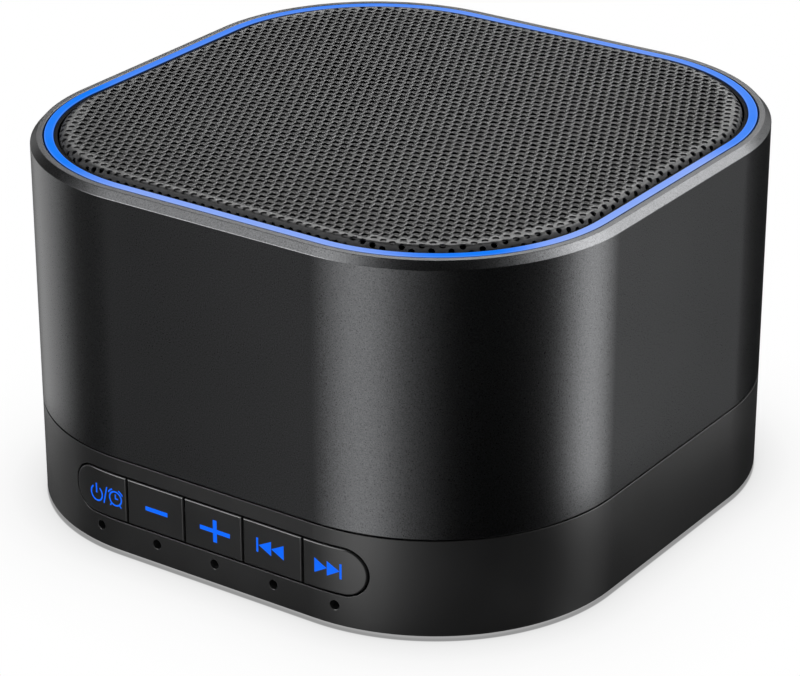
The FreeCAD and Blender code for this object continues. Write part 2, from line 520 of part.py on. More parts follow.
edges_x = [-BTN_END - 5, -16.5, -5.5, 5.5, 16.5, BTN_END + 5]
wall_out = rsq(-BTN_PROUD, 0, 20).cut(rsq(3.1, -1, 21))     # the band of wall that the caps fill
wall_lip = rsq(3.1, 0, 20).cut(rsq(3.1 + LIP_T, -1, 21))
STEM_BACK = KEY_BOARD_Y - 4.1
for (name, x), a, b in zip(BTN_CENTRES.items(), edges_x, edges_x[1:]):
    x0 = a + (BTN_GAP / 2 if abs(a) < BTN_END else 0)
    x1 = b - (BTN_GAP / 2 if abs(b) < BTN_END else 0)
    cut_box = box(x0, x1, -55, -44, -5, 25)
    outer_pill = stadium_y(0, BTN_Z, BTN_END, BTN_HALF_H, -53, -44).common(cut_box)
    cap = outer_pill.common(wall_out)
    try:
        probe = [e2 for e2 in cap.Edges if all(
            abs(max(abs(p.x) - FLAT, 0) ** 2 + max(abs(p.y) - FLAT, 0) ** 2 - (CORNER_R + BTN_PROUD) ** 2) < 0.05
            for p in [e2.valueAt(e2.FirstParameter + (e2.LastParameter - e2.FirstParameter) * t) for t in (0.1, 0.5, 0.9)])]
        soft = cap.makeFillet(BTN_EDGE, [e2 for e2 in probe if not (
            abs(e2.Vertexes[0].Point.x - e2.Vertexes[-1].Point.x) < 1e-6 and abs(abs(e2.Vertexes[0].Point.x) - FLAT) < 1e-3)])
        if soft.isValid() and 0.9 * cap.Volume < soft.Volume < cap.Volume:
            cap = soft
            print("rounded the face of", name)
    except Exception as err:
        print("left the face of", name, "sharp:", err)
    flange = stadium_y(0, BTN_Z, BTN_END + LIP_OUT, BTN_HALF_H + LIP_OUT, -53, -44).common(cut_box).common(wall_lip)
    stem = cyl_y(1.6, x, BTN_Z, -47.5, STEM_BACK)
    export("button_" + name, cap.fuse(flange).fuse(stem).removeSplitter())
    export("plunger_" + name, cyl_y(1.7, x, BTN_Z, STEM_BACK, STEM_BACK + 1.9))

# ---- leads ------------------------------------------------------------------------------------------------
export("speaker_leads", Part.Compound([
    lead([(x, 23.6, 46.45), (x, 27.6, 46.0), (x, 29.4, 38.0), (x, 27.0, 28.0), (x, 17.5, 22.0), (x, 13.0, 18.5), (x, 13.0, 13.6)], 0.55)
    for x in (0.9, 3.9)]))
export("battery_leads", Part.Compound([
    lead([(x, -1.5, 10.6), (x, 1.5, 10.6), (x, 2.2, 14.6), (x, 4.6, 17.4), (x, 7.0, 17.4), (x, 7.0, 13.6)], 0.5) for x in (-10.2, -7.8)]))
export("light_leads", Part.Compound([
    lead([(x, 43.5, PLATE_TOP), (x, 43.5, 42.0), (x, 42.2, 30.0), (x, 38.0, 22.0), (x, 33.0, 19.6), (x, 33.0, 13.6)], 0.45)
    for x in (LED_LEAD_X - 0.8, LED_LEAD_X + 0.8)]))
path = rounded_path([(12, KEY_BOARD_Y + 1.2, 13.9), (12, -34.0, 14.4), (12, -20.0, 13.6), (12, -4.0, 13.6), (12, 2.0, 11.0), (12, 7.0, 9.0)])
prof = Part.makePolygon([V(8, KEY_BOARD_Y + 1.2, 13.8), V(16, KEY_BOARD_Y + 1.2, 13.8), V(16, KEY_BOARD_Y + 1.2, 14.0),
                         V(8, KEY_BOARD_Y + 1.2, 14.0), V(8, KEY_BOARD_Y + 1.2, 13.8)])
export("key_ribbon", path.makePipeShell([prof], True, True))
print("lead bend radii", radii)
print(len(made), "nodes")
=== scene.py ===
import math

import bpy
import numpy as np
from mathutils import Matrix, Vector
from mathutils.geometry import delaunay_2d_cdt


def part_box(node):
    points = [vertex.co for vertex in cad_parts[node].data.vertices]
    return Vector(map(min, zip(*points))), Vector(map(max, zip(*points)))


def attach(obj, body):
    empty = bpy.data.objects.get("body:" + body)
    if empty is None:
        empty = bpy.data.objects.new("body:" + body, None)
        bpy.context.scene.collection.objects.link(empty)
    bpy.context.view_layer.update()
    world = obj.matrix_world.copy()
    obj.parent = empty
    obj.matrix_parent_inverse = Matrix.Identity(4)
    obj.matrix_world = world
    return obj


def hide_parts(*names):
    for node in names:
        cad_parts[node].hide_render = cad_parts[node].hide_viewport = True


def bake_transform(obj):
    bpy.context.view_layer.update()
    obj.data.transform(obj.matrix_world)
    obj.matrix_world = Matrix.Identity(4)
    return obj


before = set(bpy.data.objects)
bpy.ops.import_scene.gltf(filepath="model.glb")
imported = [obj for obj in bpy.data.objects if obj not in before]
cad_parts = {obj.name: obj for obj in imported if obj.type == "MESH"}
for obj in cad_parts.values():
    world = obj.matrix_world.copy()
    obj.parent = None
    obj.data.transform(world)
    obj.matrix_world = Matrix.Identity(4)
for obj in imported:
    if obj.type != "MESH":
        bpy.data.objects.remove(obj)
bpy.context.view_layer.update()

MM = 0.001

# The object's driving dimensions, in millimetres, as the construction has them.
H, CORNER_R = 50.0, 31.7
FLAT = H - CORNER_R
RIM_Z = 60.0


# ---- camera -----------------------------------------------------------------------------
def make_camera():
    data = bpy.data.cameras.new("camera")
    cam = bpy.data.objects.new("camera", data)
    bpy.context.scene.collection.objects.link(cam)
    cam.location = (0.2596, -0.3766, 0.2320)
    cam.rotation_mode = "QUATERNION"
    cam.rotation_quaternion = Vector((0.51699, -0.74789, 0.41640)).to_track_quat("Z", "Y")
    data.lens, data.sensor_width = 142.03, 36.0
    data.clip_start, data.clip_end = 0.01, 20.0
    bpy.context.scene.camera = cam


# ---- meshes -----------------------------------------------------------------------------
def make_piece(name, verts, faces, normals=None, body="housing", slot=None, stands_for=()):
    """A piece from points in millimetres; normals holds one per face corner."""
    verts = np.asarray(verts, float) * MM
    if closed_volume(verts, faces) < 0:
        faces = [f[::-1] for f in faces]
        if normals is not None:
            out, at = [], 0
            for f in faces:
                out.extend(reversed(normals[at:at + len(f)]))
                at += len(f)
            normals = out
    me = bpy.data.meshes.new(name)
    me.from_pydata([tuple(v) for v in verts], [], faces)
    me.polygons.foreach_set("use_smooth", [True] * len(me.polygons))
    me.update()
    if normals is not None:
        me.normals_split_custom_set([tuple(n) for n in normals])
    obj = bpy.data.objects.new(name, me)
    bpy.context.scene.collection.objects.link(obj)
    if body is not None:
        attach(obj, body)
    if stands_for:
        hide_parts(*stands_for)
    return obj


def closed_volume(verts, faces):
    total = 0.0
    for f in faces:
        a = verts[f[0]]
        for i in range(1, len(f) - 1):
            total += float(np.dot(a, np.cross(verts[f[i]], verts[f[i + 1]])))
    return total / 6


def outline_path(steps):
    """The rounded square as (centre x, centre y, outward x, outward y, reach of the wall)."""
    path = []
    for k, (sx, sy) in enumerate(((1, -1), (1, 1), (-1, 1), (-1, -1))):
        for j in range(steps + 1):
            a = math.radians(-90 + 90 * k + 90 * j / steps)
            path.append((sx * FLAT, sy * FLAT, math.cos(a), math.sin(a), CORNER_R))
    return path


def round_path(steps):
    return [(0.0, 0.0, math.cos(2 * math.pi * k / steps), math.sin(2 * math.pi * k / steps), 0.0) for k in range(steps)]


def rounded_profile(points, fine=5):
    """Closed profile of (reach, z, corner radius) as points and segments with a normal at each end.
    A fourth value marks a point of a smooth curve."""
    n = len(points)
    at, segments = [], []

    def put(p):
        at.append(p)
        return len(at) - 1

    area = sum(points[i][0] * points[(i + 1) % n][1] - points[(i + 1) % n][0] * points[i][1] for i in range(n))
    if area < 0:
        points = points[::-1]
    ends = []
    for k in range(n):
        p0, p1, p2 = (np.array(points[j % n][:2], float) for j in (k - 1, k, k + 1))
        r, smooth = points[k][2], len(points[k]) > 3
        u, w = p0 - p1, p2 - p1
        u, w = u / np.linalg.norm(u), w / np.linalg.norm(w)
        n_in, n_out = np.array([-u[1], u[0]]), np.array([w[1], -w[0]])
        if r <= 0:
            i = put(tuple(p1))
            if smooth:
                n_in = n_out = (n_in + n_out) / np.linalg.norm(n_in + n_out)
            ends.append((i, i, n_in, n_out))
            continue
        half = math.acos(max(-1, min(1, float(u @ w)))) / 2
        d = r / math.tan(half)
        m = (u + w) / np.linalg.norm(u + w)
        c = p1 + m * (r / math.sin(half))
        s, t = p1 + u * d, p1 + w * d
        a0, a1 = math.atan2(*(s - c)[::-1]), math.atan2(*(t - c)[::-1])
        turn = (a1 - a0 + math.pi) % (2 * math.pi) - math.pi
        convex = float(n_in @ (s - c)) > 0
        ids = []
        for q in range(fine + 1):
            a = a0 + turn * q / fine
            ids.append((put((c[0] + r * math.cos(a), c[1] + r * math.sin(a))),
                        np.array([math.cos(a), math.sin(a)]) * (1 if convex else -1)))
        for (i, ni), (j, nj) in zip(ids, ids[1:]):
            segments.append((i, j, ni, nj))
        ends.append((ids[0][0], ids[-1][0], n_in, n_out))
    for k in range(n):
        i, j = ends[k][1], ends[(k + 1) % n][0]
        segments.append((i, j, ends[k][3], ends[(k + 1) % n][2]))
    return at, segments


def sweep(name, path, points, fine=5, **kw):
    at, segments = rounded_profile(points, fine)
    verts, faces, normals = [], [], []
    for cx, cy, dx, dy, reach in path:
        for u, z in at:
            verts.append((cx + dx * (reach + u), cy + dy * (reach + u), z))
    n, p = len(path), len(at)
    for k in range(n):
        l = (k + 1) % n
        dk, dl = path[k][2:4], path[l][2:4]
        for i, j, ni, nj in segments:
            faces.append((k * p + i, l * p + i, l * p + j, k * p + j))
            for d, m in ((dk, ni), (dl, ni), (dl, nj), (dk, nj)):
                normals.append((d[0] * m[0], d[1] * m[0], m[1]))
    return make_piece(name, verts, faces, normals, **kw)


# ---- grille: perforated sheet with a rolled edge ------------------------------------------
PX, ROW, HOLE = 0.789, 1.588, 0.5       # half pitch along a row, row spacing, hole radius
SHEET_TOP, SHEET_T, ROLL = 60.55, 0.3, 1.2
ROLL_IN = 5.7                            # inset where the roll begins
QUARTER = ROLL * math.pi / 2
SKIRT = QUARTER + (SHEET_TOP - ROLL - 57.3)
EDGE_TILT = 0.12


def beyond(x, y):
    """How far a point of the unrolled sheet lies past the start of the roll, and the outward direction there."""
    ax, ay = abs(x) - FLAT, abs(y) - FLAT
    sx, sy = math.copysign(1, x), math.copysign(1, y)
    if ax > 0 and ay > 0:
        r = math.hypot(ax, ay)
        return r - (CORNER_R - ROLL_IN), sx * ax / r, sy * ay / r
    if ax > ay:
        return abs(x) - (H - ROLL_IN), sx, 0.0
    return abs(y) - (H - ROLL_IN), 0.0, sy


def on_sheet(x, y, depth):
    """Place and normal on the formed sheet for a point of the unrolled one, depth below its upper face."""
    d, dx, dy = beyond(x, y)
    if d <= 0:
        return (x, y, SHEET_TOP - depth), (0.0, 0.0, 1.0)
    bx, by, r = x - dx * d, y - dy * d, ROLL - depth
    if d <= QUARTER:
        a = d / ROLL
        s, c = math.sin(a), math.cos(a)
        return (bx + dx * r * s, by + dy * r * s, SHEET_TOP - ROLL + r * c), (dx * s, dy * s, c)
    return (bx + dx * r, by + dy * r, SHEET_TOP - ROLL - (d - QUARTER)), (dx, dy, 0.0)


def bent(x, y, vx, vy):
    """A direction in the unrolled sheet, carried on to the formed one."""
    d, dx, dy = beyond(x, y)
    if d <= 0:
        return np.array([vx, vy, 0.0])
    a = min(d / ROLL, math.pi / 2)
    out = vx * dx + vy * dy
    ax, ay = vx - out * dx, vy - out * dy
    return np.array([ax + out * dx * math.cos(a), ay + out * dy * math.cos(a), -out * math.sin(a)])


def unit(v):
    v = np.asarray(v, float)
    return v / np.linalg.norm(v)


def make_grille():
    reach = int(H / ROW) + 2
    cells = set()
    for m in range(-reach, reach + 1):
        for ci in range(-2 * reach - 8, 2 * reach + 9):
            if (ci + m) % 2:
                continue
            if all(beyond((ci + sx) * PX, (m + sy) * ROW)[0] <= -0.03 for sx in (-1, 1) for sy in (-0.5, 0.5)):
                cells.add((ci, m))
    verts, faces, normals = [], [], []
    up, down = (0.0, 0.0, 1.0), (0.0, 0.0, -1.0)
    corner_top, corner_low = {}, {}

    def corner(i, j):
        if (i, j) not in corner_top:
            x, y = i * PX, (j + 0.5) * ROW
            corner_top[i, j] = len(verts)
            verts.append((x, y, SHEET_TOP))
            corner_low[i, j] = len(verts)
            verts.append((x, y, SHEET_TOP - SHEET_T))
        return i, j

    ring = [(math.cos(math.radians(30 * k)), math.sin(math.radians(30 * k))) for k in range(12)]
    hexr = HOLE / math.cos(math.radians(30))
    outer = [(-PX, -ROW / 2), (0, -ROW / 2), (PX, -ROW / 2), (PX, ROW / 2), (0, ROW / 2), (-PX, ROW / 2)]

    def annulus(inner, count):
        pts = [Vector(p) for p in outer + inner]
        edges = [(k, (k + 1) % 6) for k in range(6)] + [(6 + k, 6 + (k + 1) % count) for k in range(count)]
        got = delaunay_2d_cdt(pts, edges, [], 0, 1e-6)
        same = [min(range(len(pts)), key=lambda q: (pts[q] - v).length) for v in got[0]]
        out = []
        for f in got[2]:
            f = [same[i] for i in f]
            if all(i >= 6 for i in f):
                continue
            a, b, c = (pts[i] for i in f)
            if (b - a).cross(c - a) < 0:
                f.reverse()
            out.append(f)
        return out

    top_web = annulus([(x * HOLE, y * HOLE) for x, y in ring], 12)
    low_web = annulus([(x * hexr, y * hexr) for x, y in ring[::2]], 6)
    tilt = [tuple(unit((-x * EDGE_TILT, -y * EDGE_TILT, 1))) for x, y in ring]
    wall_n = [(-x, -y, 0.0) for x, y in ring]
    border = {}
    for ci, m in sorted(cells):
        out = [corner(ci + i, m + j) for i, j in ((-1, -1), (0, -1), (1, -1), (1, 0), (0, 0), (-1, 0))]
        for a, b in zip(out, out[1:] + out[:1]):
            border[frozenset((a, b))] = border.get(frozenset((a, b)), 0) + 1
        cx, cy = ci * PX, m * ROW
        t0 = len(verts)
        verts.extend((cx + x * HOLE, cy + y * HOLE, SHEET_TOP) for x, y in ring)
        b0 = len(verts)
        verts.extend((cx + x * hexr, cy + y * hexr, SHEET_TOP - SHEET_T) for x, y in ring[::2])
        for f in top_web:
            faces.append(tuple(corner_top[out[i]] if i < 6 else t0 + i - 6 for i in f))
            normals.extend(up if i < 6 else tilt[i - 6] for i in f)
        for f in low_web:
            faces.append(tuple(corner_low[out[i]] if i < 6 else b0 + i - 6 for i in reversed(f)))
            normals.extend([down] * 3)
        for j in range(6):
            a, b, c = (2 * j - 1) % 12, 2 * j, (2 * j + 1) % 12
            k = (j + 1) % 6
            faces.append((b0 + j, t0 + b, t0 + a))
            normals.extend((wall_n[b], wall_n[b], wall_n[a]))
            faces.append((b0 + j, t0 + c, t0 + b))
            normals.extend((wall_n[b], wall_n[c], wall_n[b]))
            faces.append((b0 + j, b0 + k, t0 + c))
            normals.extend((wall_n[b], wall_n[2 * k], wall_n[c]))

    # the band round the cells: part holes, the roll and the skirt, triangulated flat and then formed
    pts, edges, holes = [], [], set()

    def add(p):
        pts.append(Vector(p))
        return len(pts) - 1

    lattice = {}
    for e, n in border.items():
        if n != 1:
            continue
        ends = []
        for i, j in e:
            if (i, j) not in lattice:
                lattice[i, j] = add((i * PX, (j + 0.5) * ROW))
            ends.append(lattice[i, j])
        edges.append(tuple(ends))
    for d in (0.0, 0.42, 0.82, 1.2, 1.55, QUARTER, SKIRT):
        loop = []
        for sx, sy, a0 in ((1, -1, -90), (1, 1, 0), (-1, 1, 90), (-1, -1, 180)):
            for k in range(37):
                a = math.radians(a0 + 90 * k / 36)
                r = CORNER_R - ROLL_IN + d
                loop.append(add((sx * FLAT + r * math.cos(a), sy * FLAT + r * math.sin(a))))
        edges.extend(zip(loop, loop[1:] + loop[:1]))
    for m in range(-reach - 2, reach + 3):
        for ci in range(-2 * reach - 12, 2 * reach + 13):
            if (ci + m) % 2 or (ci, m) in cells:
                continue
            cx, cy = ci * PX, m * ROW
            if beyond(cx, cy)[0] + HOLE > QUARTER + 0.6:
                continue
            holes.add((ci, m))
            loop = [add((cx + x * HOLE, cy + y * HOLE)) for x, y in ring]
            edges.extend(zip(loop, loop[1:] + loop[:1]))
    got = delaunay_2d_cdt(pts, edges, [], 0, 1e-5)
    band = [(v.x, v.y) for v in got[0]]

    def nearest(x, y):
        m = round(y / ROW)
        best = None
        for mm in (m - 1, m, m + 1):
            odd = mm % 2
            ci = 2 * round((x / PX - odd) / 2) + odd
            for c in (ci - 2, ci, ci + 2):
                r = math.hypot(x - c * PX, y - mm * ROW)
                if best is None or r < best[0]:
                    best = (r, c, mm)
        return best

    faces2 = [(math.cos(math.radians(15 + 30 * k)), math.sin(math.radians(15 + 30 * k))) for k in range(12)]
    apothem = HOLE * math.cos(math.radians(15))

    def in_hole(x, y):
        r, ci, m = nearest(x, y)
        if (ci, m) not in holes:
            return False
        dx, dy = x - ci * PX, y - m * ROW
        return max(dx * a + dy * b for a, b in faces2) < apothem - 1e-7

    def in_cell(x, y):
        m = round(y / ROW)
        odd = m % 2
        ci = 2 * round((x / PX - odd) / 2) + odd
        return (ci, m) in cells

    known = {(round(i * PX, 4), round((j + 0.5) * ROW, 4)): (i, j) for i, j in corner_top}
    top_id, low_id, tip = {}, {}, {}
    for k, (x, y) in enumerate(band):
        key = known.get((round(x, 4), round(y, 4)))
        if key is not None:
            top_id[k], low_id[k] = corner_top[key], corner_low[key]
            tip[k] = (0.0, 0.0, 1.0)
            continue
        p, n = on_sheet(x, y, 0.0)
        q, _ = on_sheet(x, y, SHEET_T)
        top_id[k] = len(verts)
        verts.append(p)
        low_id[k] = len(verts)
        verts.append(q)
        r, ci, m = nearest(x, y)
        if (ci, m) in holes and r < HOLE + 2e-3:
            v = bent(x, y, (ci * PX - x) / r, (m * ROW - y) / r)
            n = tuple(unit(np.array(n) + EDGE_TILT * v))
        tip[k] = n
    used = {}
    for f in got[2]:
        cx = sum(band[i][0] for i in f) / 3
        cy = sum(band[i][1] for i in f) / 3
        if in_cell(cx, cy) or in_hole(cx, cy):
            continue
        (ax, ay), (bx, by), (gx, gy) = (band[i] for i in f)
        cross = (bx - ax) * (gy - ay) - (by - ay) * (gx - ax)
        if abs(cross) < 1e-9:
            continue
        f = list(f) if cross > 0 else list(f)[::-1]
        faces.append(tuple(top_id[i] for i in f))
        normals.extend(tip[i] for i in f)
        faces.append(tuple(low_id[i] for i in reversed(f)))
        normals.extend(tuple(-c for c in on_sheet(*band[i], 0.0)[1]) for i in reversed(f))
        for a, b in zip(f, f[1:] + f[:1]):
            used[a, b] = True
    single = [(a, b) for a, b in used if (b, a) not in used]
    cell_edge = {frozenset(e) for e, n in border.items() if n == 1}
    back = {}
    for k, (x, y) in enumerate(band):
        key = known.get((round(x, 4), round(y, 4)))
        if key is not None:
            back[k] = key
    for a, b in single:
        if a in back and b in back and frozenset((back[a], back[b])) in cell_edge:
            continue
        faces.append((top_id[b], top_id[a], low_id[a], low_id[b]))
        for i in (b, a, a, b):
            x, y = band[i]
            d, dx, dy = beyond(x, y)
            if d > SKIRT - 0.05:
                normals.append((0.0, 0.0, -1.0))
            else:
                r, ci, m = nearest(x, y)
                normals.append(tuple(unit(bent(x, y, ci * PX - x, m * ROW - y))))
    print("grille:", len(cells), "cells,", len(holes), "holes in the band,", sum(len(f) - 2 for f in faces), "triangles")
    return make_piece("perforated_grille", verts, faces, normals, slot="grille_steel", stands_for=["grille"])


# ---- symbols on the caps --------------------------------------------------------------------
CAP_R = CORNER_R + 0.1


def cap_face(x):
    """How far forward the caps' faces stand at x."""
    ax = abs(x) - FLAT
    return -FLAT - (CAP_R if ax <= 0 else math.sqrt(CAP_R ** 2 - ax ** 2))


def bar(x0, z0, x1, z1, w):
    d = Vector((x1 - x0, z1 - z0)).normalized() * (w / 2)
    n = Vector((-d.y, d.x))
    a, b = Vector((x0, z0)), Vector((x1, z1))
    return [tuple(a - n), tuple(b - n), tuple(b + n), tuple(a + n)]


def arc_band(cx, cz, r0, r1, a0, a1, n):
    """Band between two radii; angles in degrees, counter-clockwise."""
    t = [math.radians(a0 + (a1 - a0) * k / n) for k in range(n + 1)]
    return [(cx + r1 * math.cos(a), cz + r1 * math.sin(a)) for a in t] + \
           [(cx + r0 * math.cos(a), cz + r0 * math.sin(a)) for a in reversed(t)]


def disc(cx, cz, r, n=20):
    return [(cx + r * math.cos(2 * math.pi * k / n), cz + r * math.sin(2 * math.pi * k / n)) for k in range(n)]


def signed_area(p):
    return sum(p[i][0] * p[(i + 1) % len(p)][1] - p[(i + 1) % len(p)][0] * p[i][1] for i in range(len(p))) / 2


def inlay(name, shapes, body, proud=0.006, sunk=0.12):
    """Thin inlay in a cap's face: the union of flat shapes, following the face's curve."""
    pts, polys, edges = [], [], []
    for s in shapes:
        s = s if signed_area(s) > 0 else s[::-1]
        polys.append(list(range(len(pts), len(pts) + len(s))))
        pts.extend(Vector(p) for p in s)
    lo, hi = min(p.x for p in pts), max(p.x for p in pts)
    z0, z1 = min(p.y for p in pts) - 0.1, max(p.y for p in pts) + 0.1
    if max(abs(lo), abs(hi)) > FLAT:
        x = lo + 0.31
        while x < hi - 0.05:
            edges.append((len(pts), len(pts) + 1))
            pts.extend((Vector((x, z0)), Vector((x, z1))))
            x += 0.41
    got = delaunay_2d_cdt(pts, edges, polys, 0, 1e-5)
    flat, tris = [(v.x, v.y) for v in got[0]], []
    for f, origin in zip(got[2], got[5]):
        if origin:
            a, b, c = (flat[i] for i in f)
            cross = (b[0] - a[0]) * (c[1] - a[1]) - (b[1] - a[1]) * (c[0] - a[0])
            if abs(cross) > 1e-8:
                tris.append(tuple(f) if cross > 0 else tuple(f)[::-1])
    keep = sorted({i for f in tris for i in f})
    front = {i: 2 * k for k, i in enumerate(keep)}
    verts = []
    for i in keep:
        x, z = flat[i]
        y = cap_face(x)
        verts.extend(((x, y - proud, z), (x, y + sunk, z)))

    def out(i):
        x = flat[i][0]
        ax = max(abs(x) - FLAT, 0)
        s = math.copysign(ax / CAP_R, x)
        return (s, -math.sqrt(1 - s * s), 0.0)

    faces, normals, seen = [], [], set()
    for f in tris:
        faces.append(tuple(front[i] for i in f))
        normals.extend(out(i) for i in f)
        faces.append(tuple(front[i] + 1 for i in reversed(f)))
        normals.extend(tuple(-c for c in out(i)) for i in reversed(f))
        seen.update(zip(f, f[1:] + f[:1]))
    for a, b in seen:
        if (b, a) in seen:
            continue
        faces.append((front[b], front[a], front[a] + 1, front[b] + 1))
        (ax, az), (bx, bz) = flat[a], flat[b]
        n = unit((bz - az, 0.0, ax - bx))
        normals.extend([tuple(n)] * 4)
    return make_piece(name, verts, faces, normals, body=body, slot="light_diffuser")


def make_symbols():
    power = [arc_band(-22.74, 9.3, 1.08, 1.36, 124 - 360, 56, 40), bar(-22.74, 11.0, -22.74, 9.35, 0.3),
             bar(-20.5, 11.02, -21.22, 8.1, 0.25)]
    cx, cz = -18.8, 9.55
    clock = [arc_band(cx, cz, 1.04, 1.3, 0, 359.9, 40), bar(cx, cz + 0.75, cx, cz - 0.1, 0.22), bar(cx - 0.05, cz, cx + 0.55, cz, 0.22),
             arc_band(cx, cz, 1.46, 1.72, 112, 152, 10), arc_band(cx, cz, 1.46, 1.72, 28, 68, 10),
             bar(cx - 0.82, cz - 1.0, cx - 1.08, cz - 1.36, 0.24), bar(cx + 0.82, cz - 1.0, cx + 1.08, cz - 1.36, 0.24)]
    made = [inlay("symbol_power_timer", power + clock, "key_power")]
    made.append(inlay("symbol_minus", [bar(-12.93, 9.72, -8.68, 9.72, 0.72)], "key_minus"))
    made.append(inlay("symbol_plus", [bar(-2.5, 9.74, 3.15, 9.74, 0.72), bar(0.33, 7.87, 0.33, 11.6, 0.72)], "key_plus"))

    def back_tri(tip, base, cz, half):
        return [(tip, cz), (base, cz - half), (base, cz + half)]

    made.append(inlay("symbol_previous", [[(8.06, 8.76), (8.42, 8.76), (8.42, 11.14), (8.06, 11.14)],
                                          back_tri(8.5, 10.8, 9.96, 1.2), back_tri(10.8, 13.1, 9.96, 1.2)], "key_previous"))
    made.append(inlay("symbol_next", [[(22.95, 8.6), (23.3, 8.6), (23.3, 11.1), (22.95, 11.1)],
                                      back_tri(20.85, 18.68, 9.85, 1.22), back_tri(22.97, 20.85, 9.85, 1.22)], "key_next"))
    return made


# ---- soft and flexing pieces of the inside ---------------------------------------------------
def arc(cx, cz, r, a0, a1, n):
    t = [math.radians(a0 + (a1 - a0) * k / n) for k in range(n + 1)]
    return [(cx + r * math.cos(a), cz + r * math.sin(a), 0, True) for a in t]


def make_surround():
    """Half roll of soft rubber from the basket's flange to the cone, with its glue flange outside and its foot inside."""
    mid, zc, r, t = 20.8, 54.9, 1.9, 0.4
    pts = [(25.8, 54.5, 0.05), (25.8, 54.9, 0.12)]
    pts += [(mid + r + 0.02, 54.9, 0.1)] + arc(mid, zc, r, 8, 176, 18)
    pts += [(18.9, 52.7, 0.1), (17.4, 52.7, 0.12), (17.4, 52.32, 0.1), (19.3, 52.32, 0.15)]
    pts += arc(mid, zc, r - t, 176, 4, 18) + [(22.3, 54.5, 0.05)]
    obj = sweep("cone_surround", round_path(144), pts, fine=3, body=None, slot="roll_rubber", stands_for=["speaker_surround"])
    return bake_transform(obj)


def make_spider():
    """Corrugated cloth disc that centres the coil: its waves are smooth, its inner collar is glued to the coil's tube."""
    top, low, t = [], [], 0.3
    n = 90
    for k in range(n + 1):
        r = 8.2 + (17.9 - 8.2) * k / n
        swing = 0.45 * math.sin(math.pi / 2 + 2 * math.pi * (r - 8.9) / 2.4)
        ease = min(1, (r - 8.2) / 0.8) * min(1, max(0, (15.2 - r) / 1.0))
        z = 44.05 + 0.35 * ease + swing * ease
        z = min(max(z, 43.82), 44.8)
        if r > 15.2:
            z = 43.82
        low.append((r, z, 0, True))
        top.append((r, z + t, 0, True))
    pts = [(6.75, 44.2, 0.05), (8.0, 44.2, 0)] + low + top[::-1] + [(7.9, 44.5, 0), (6.75, 44.5, 0.05)]
    obj = sweep("centring_spider", round_path(120), pts, fine=2, body=None, slot="spider_cloth", stands_for=["spider"])
    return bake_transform(obj)


def make_cloth():
    """Thin cloth stretched flat under the grille's sheet, cut to the outline of the flat part."""
    inset, z0, z1 = 5.8, 60.1, 60.25
    rings = [1.0, 0.985, 0.9, 0.75, 0.6, 0.45, 0.3, 0.15]
    edge = [(cx + dx * (reach - inset), cy + dy * (reach - inset)) for cx, cy, dx, dy, reach in outline_path(24)]
    n = len(edge)
    verts, faces = [], []
    for z in (z1, z0):
        for q in rings:
            verts.extend((x * q, y * q, z) for x, y in edge)
        verts.append((0.0, 0.0, z))
    side = len(rings) * n + 1
    for k in range(n):
        l = (k + 1) % n
        for r in range(len(rings) - 1):
            a, b = r * n, (r + 1) * n
            faces.append((a + k, a + l, b + l, b + k))
            faces.append((side + a + k, side + b + k, side + b + l, side + a + l))
        a = (len(rings) - 1) * n
        faces.append((a + k, a + l, side - 1))
        faces.append((side + a + k, 2 * side - 1, side + a + l))
        faces.append((k, side + k, side + l, l))
    normals = []
    for f in faces:
        flat = len({verts[i][2] for i in f}) == 1
        for i in f:
            if flat:
                normals.append((0.0, 0.0, 1.0 if verts[i][2] == z1 else -1.0))
            else:
                normals.append(tuple(unit((verts[i][0], verts[i][1], 0.0))))
    obj = make_piece("speaker_cloth", verts, faces, normals, slot="grille_cloth", stands_for=["grille_cloth"])
    return obj


def make_gasket():
    pts = [(26.3, 54.9, 0.1), (26.3, 55.6, 0.24), (24.0, 55.6, 0.24), (24.0, 54.9, 0.1)]
    obj = sweep("gasket_ring", round_path(160), pts, fine=4, slot="foam", stands_for=["speaker_gasket"])
    return obj


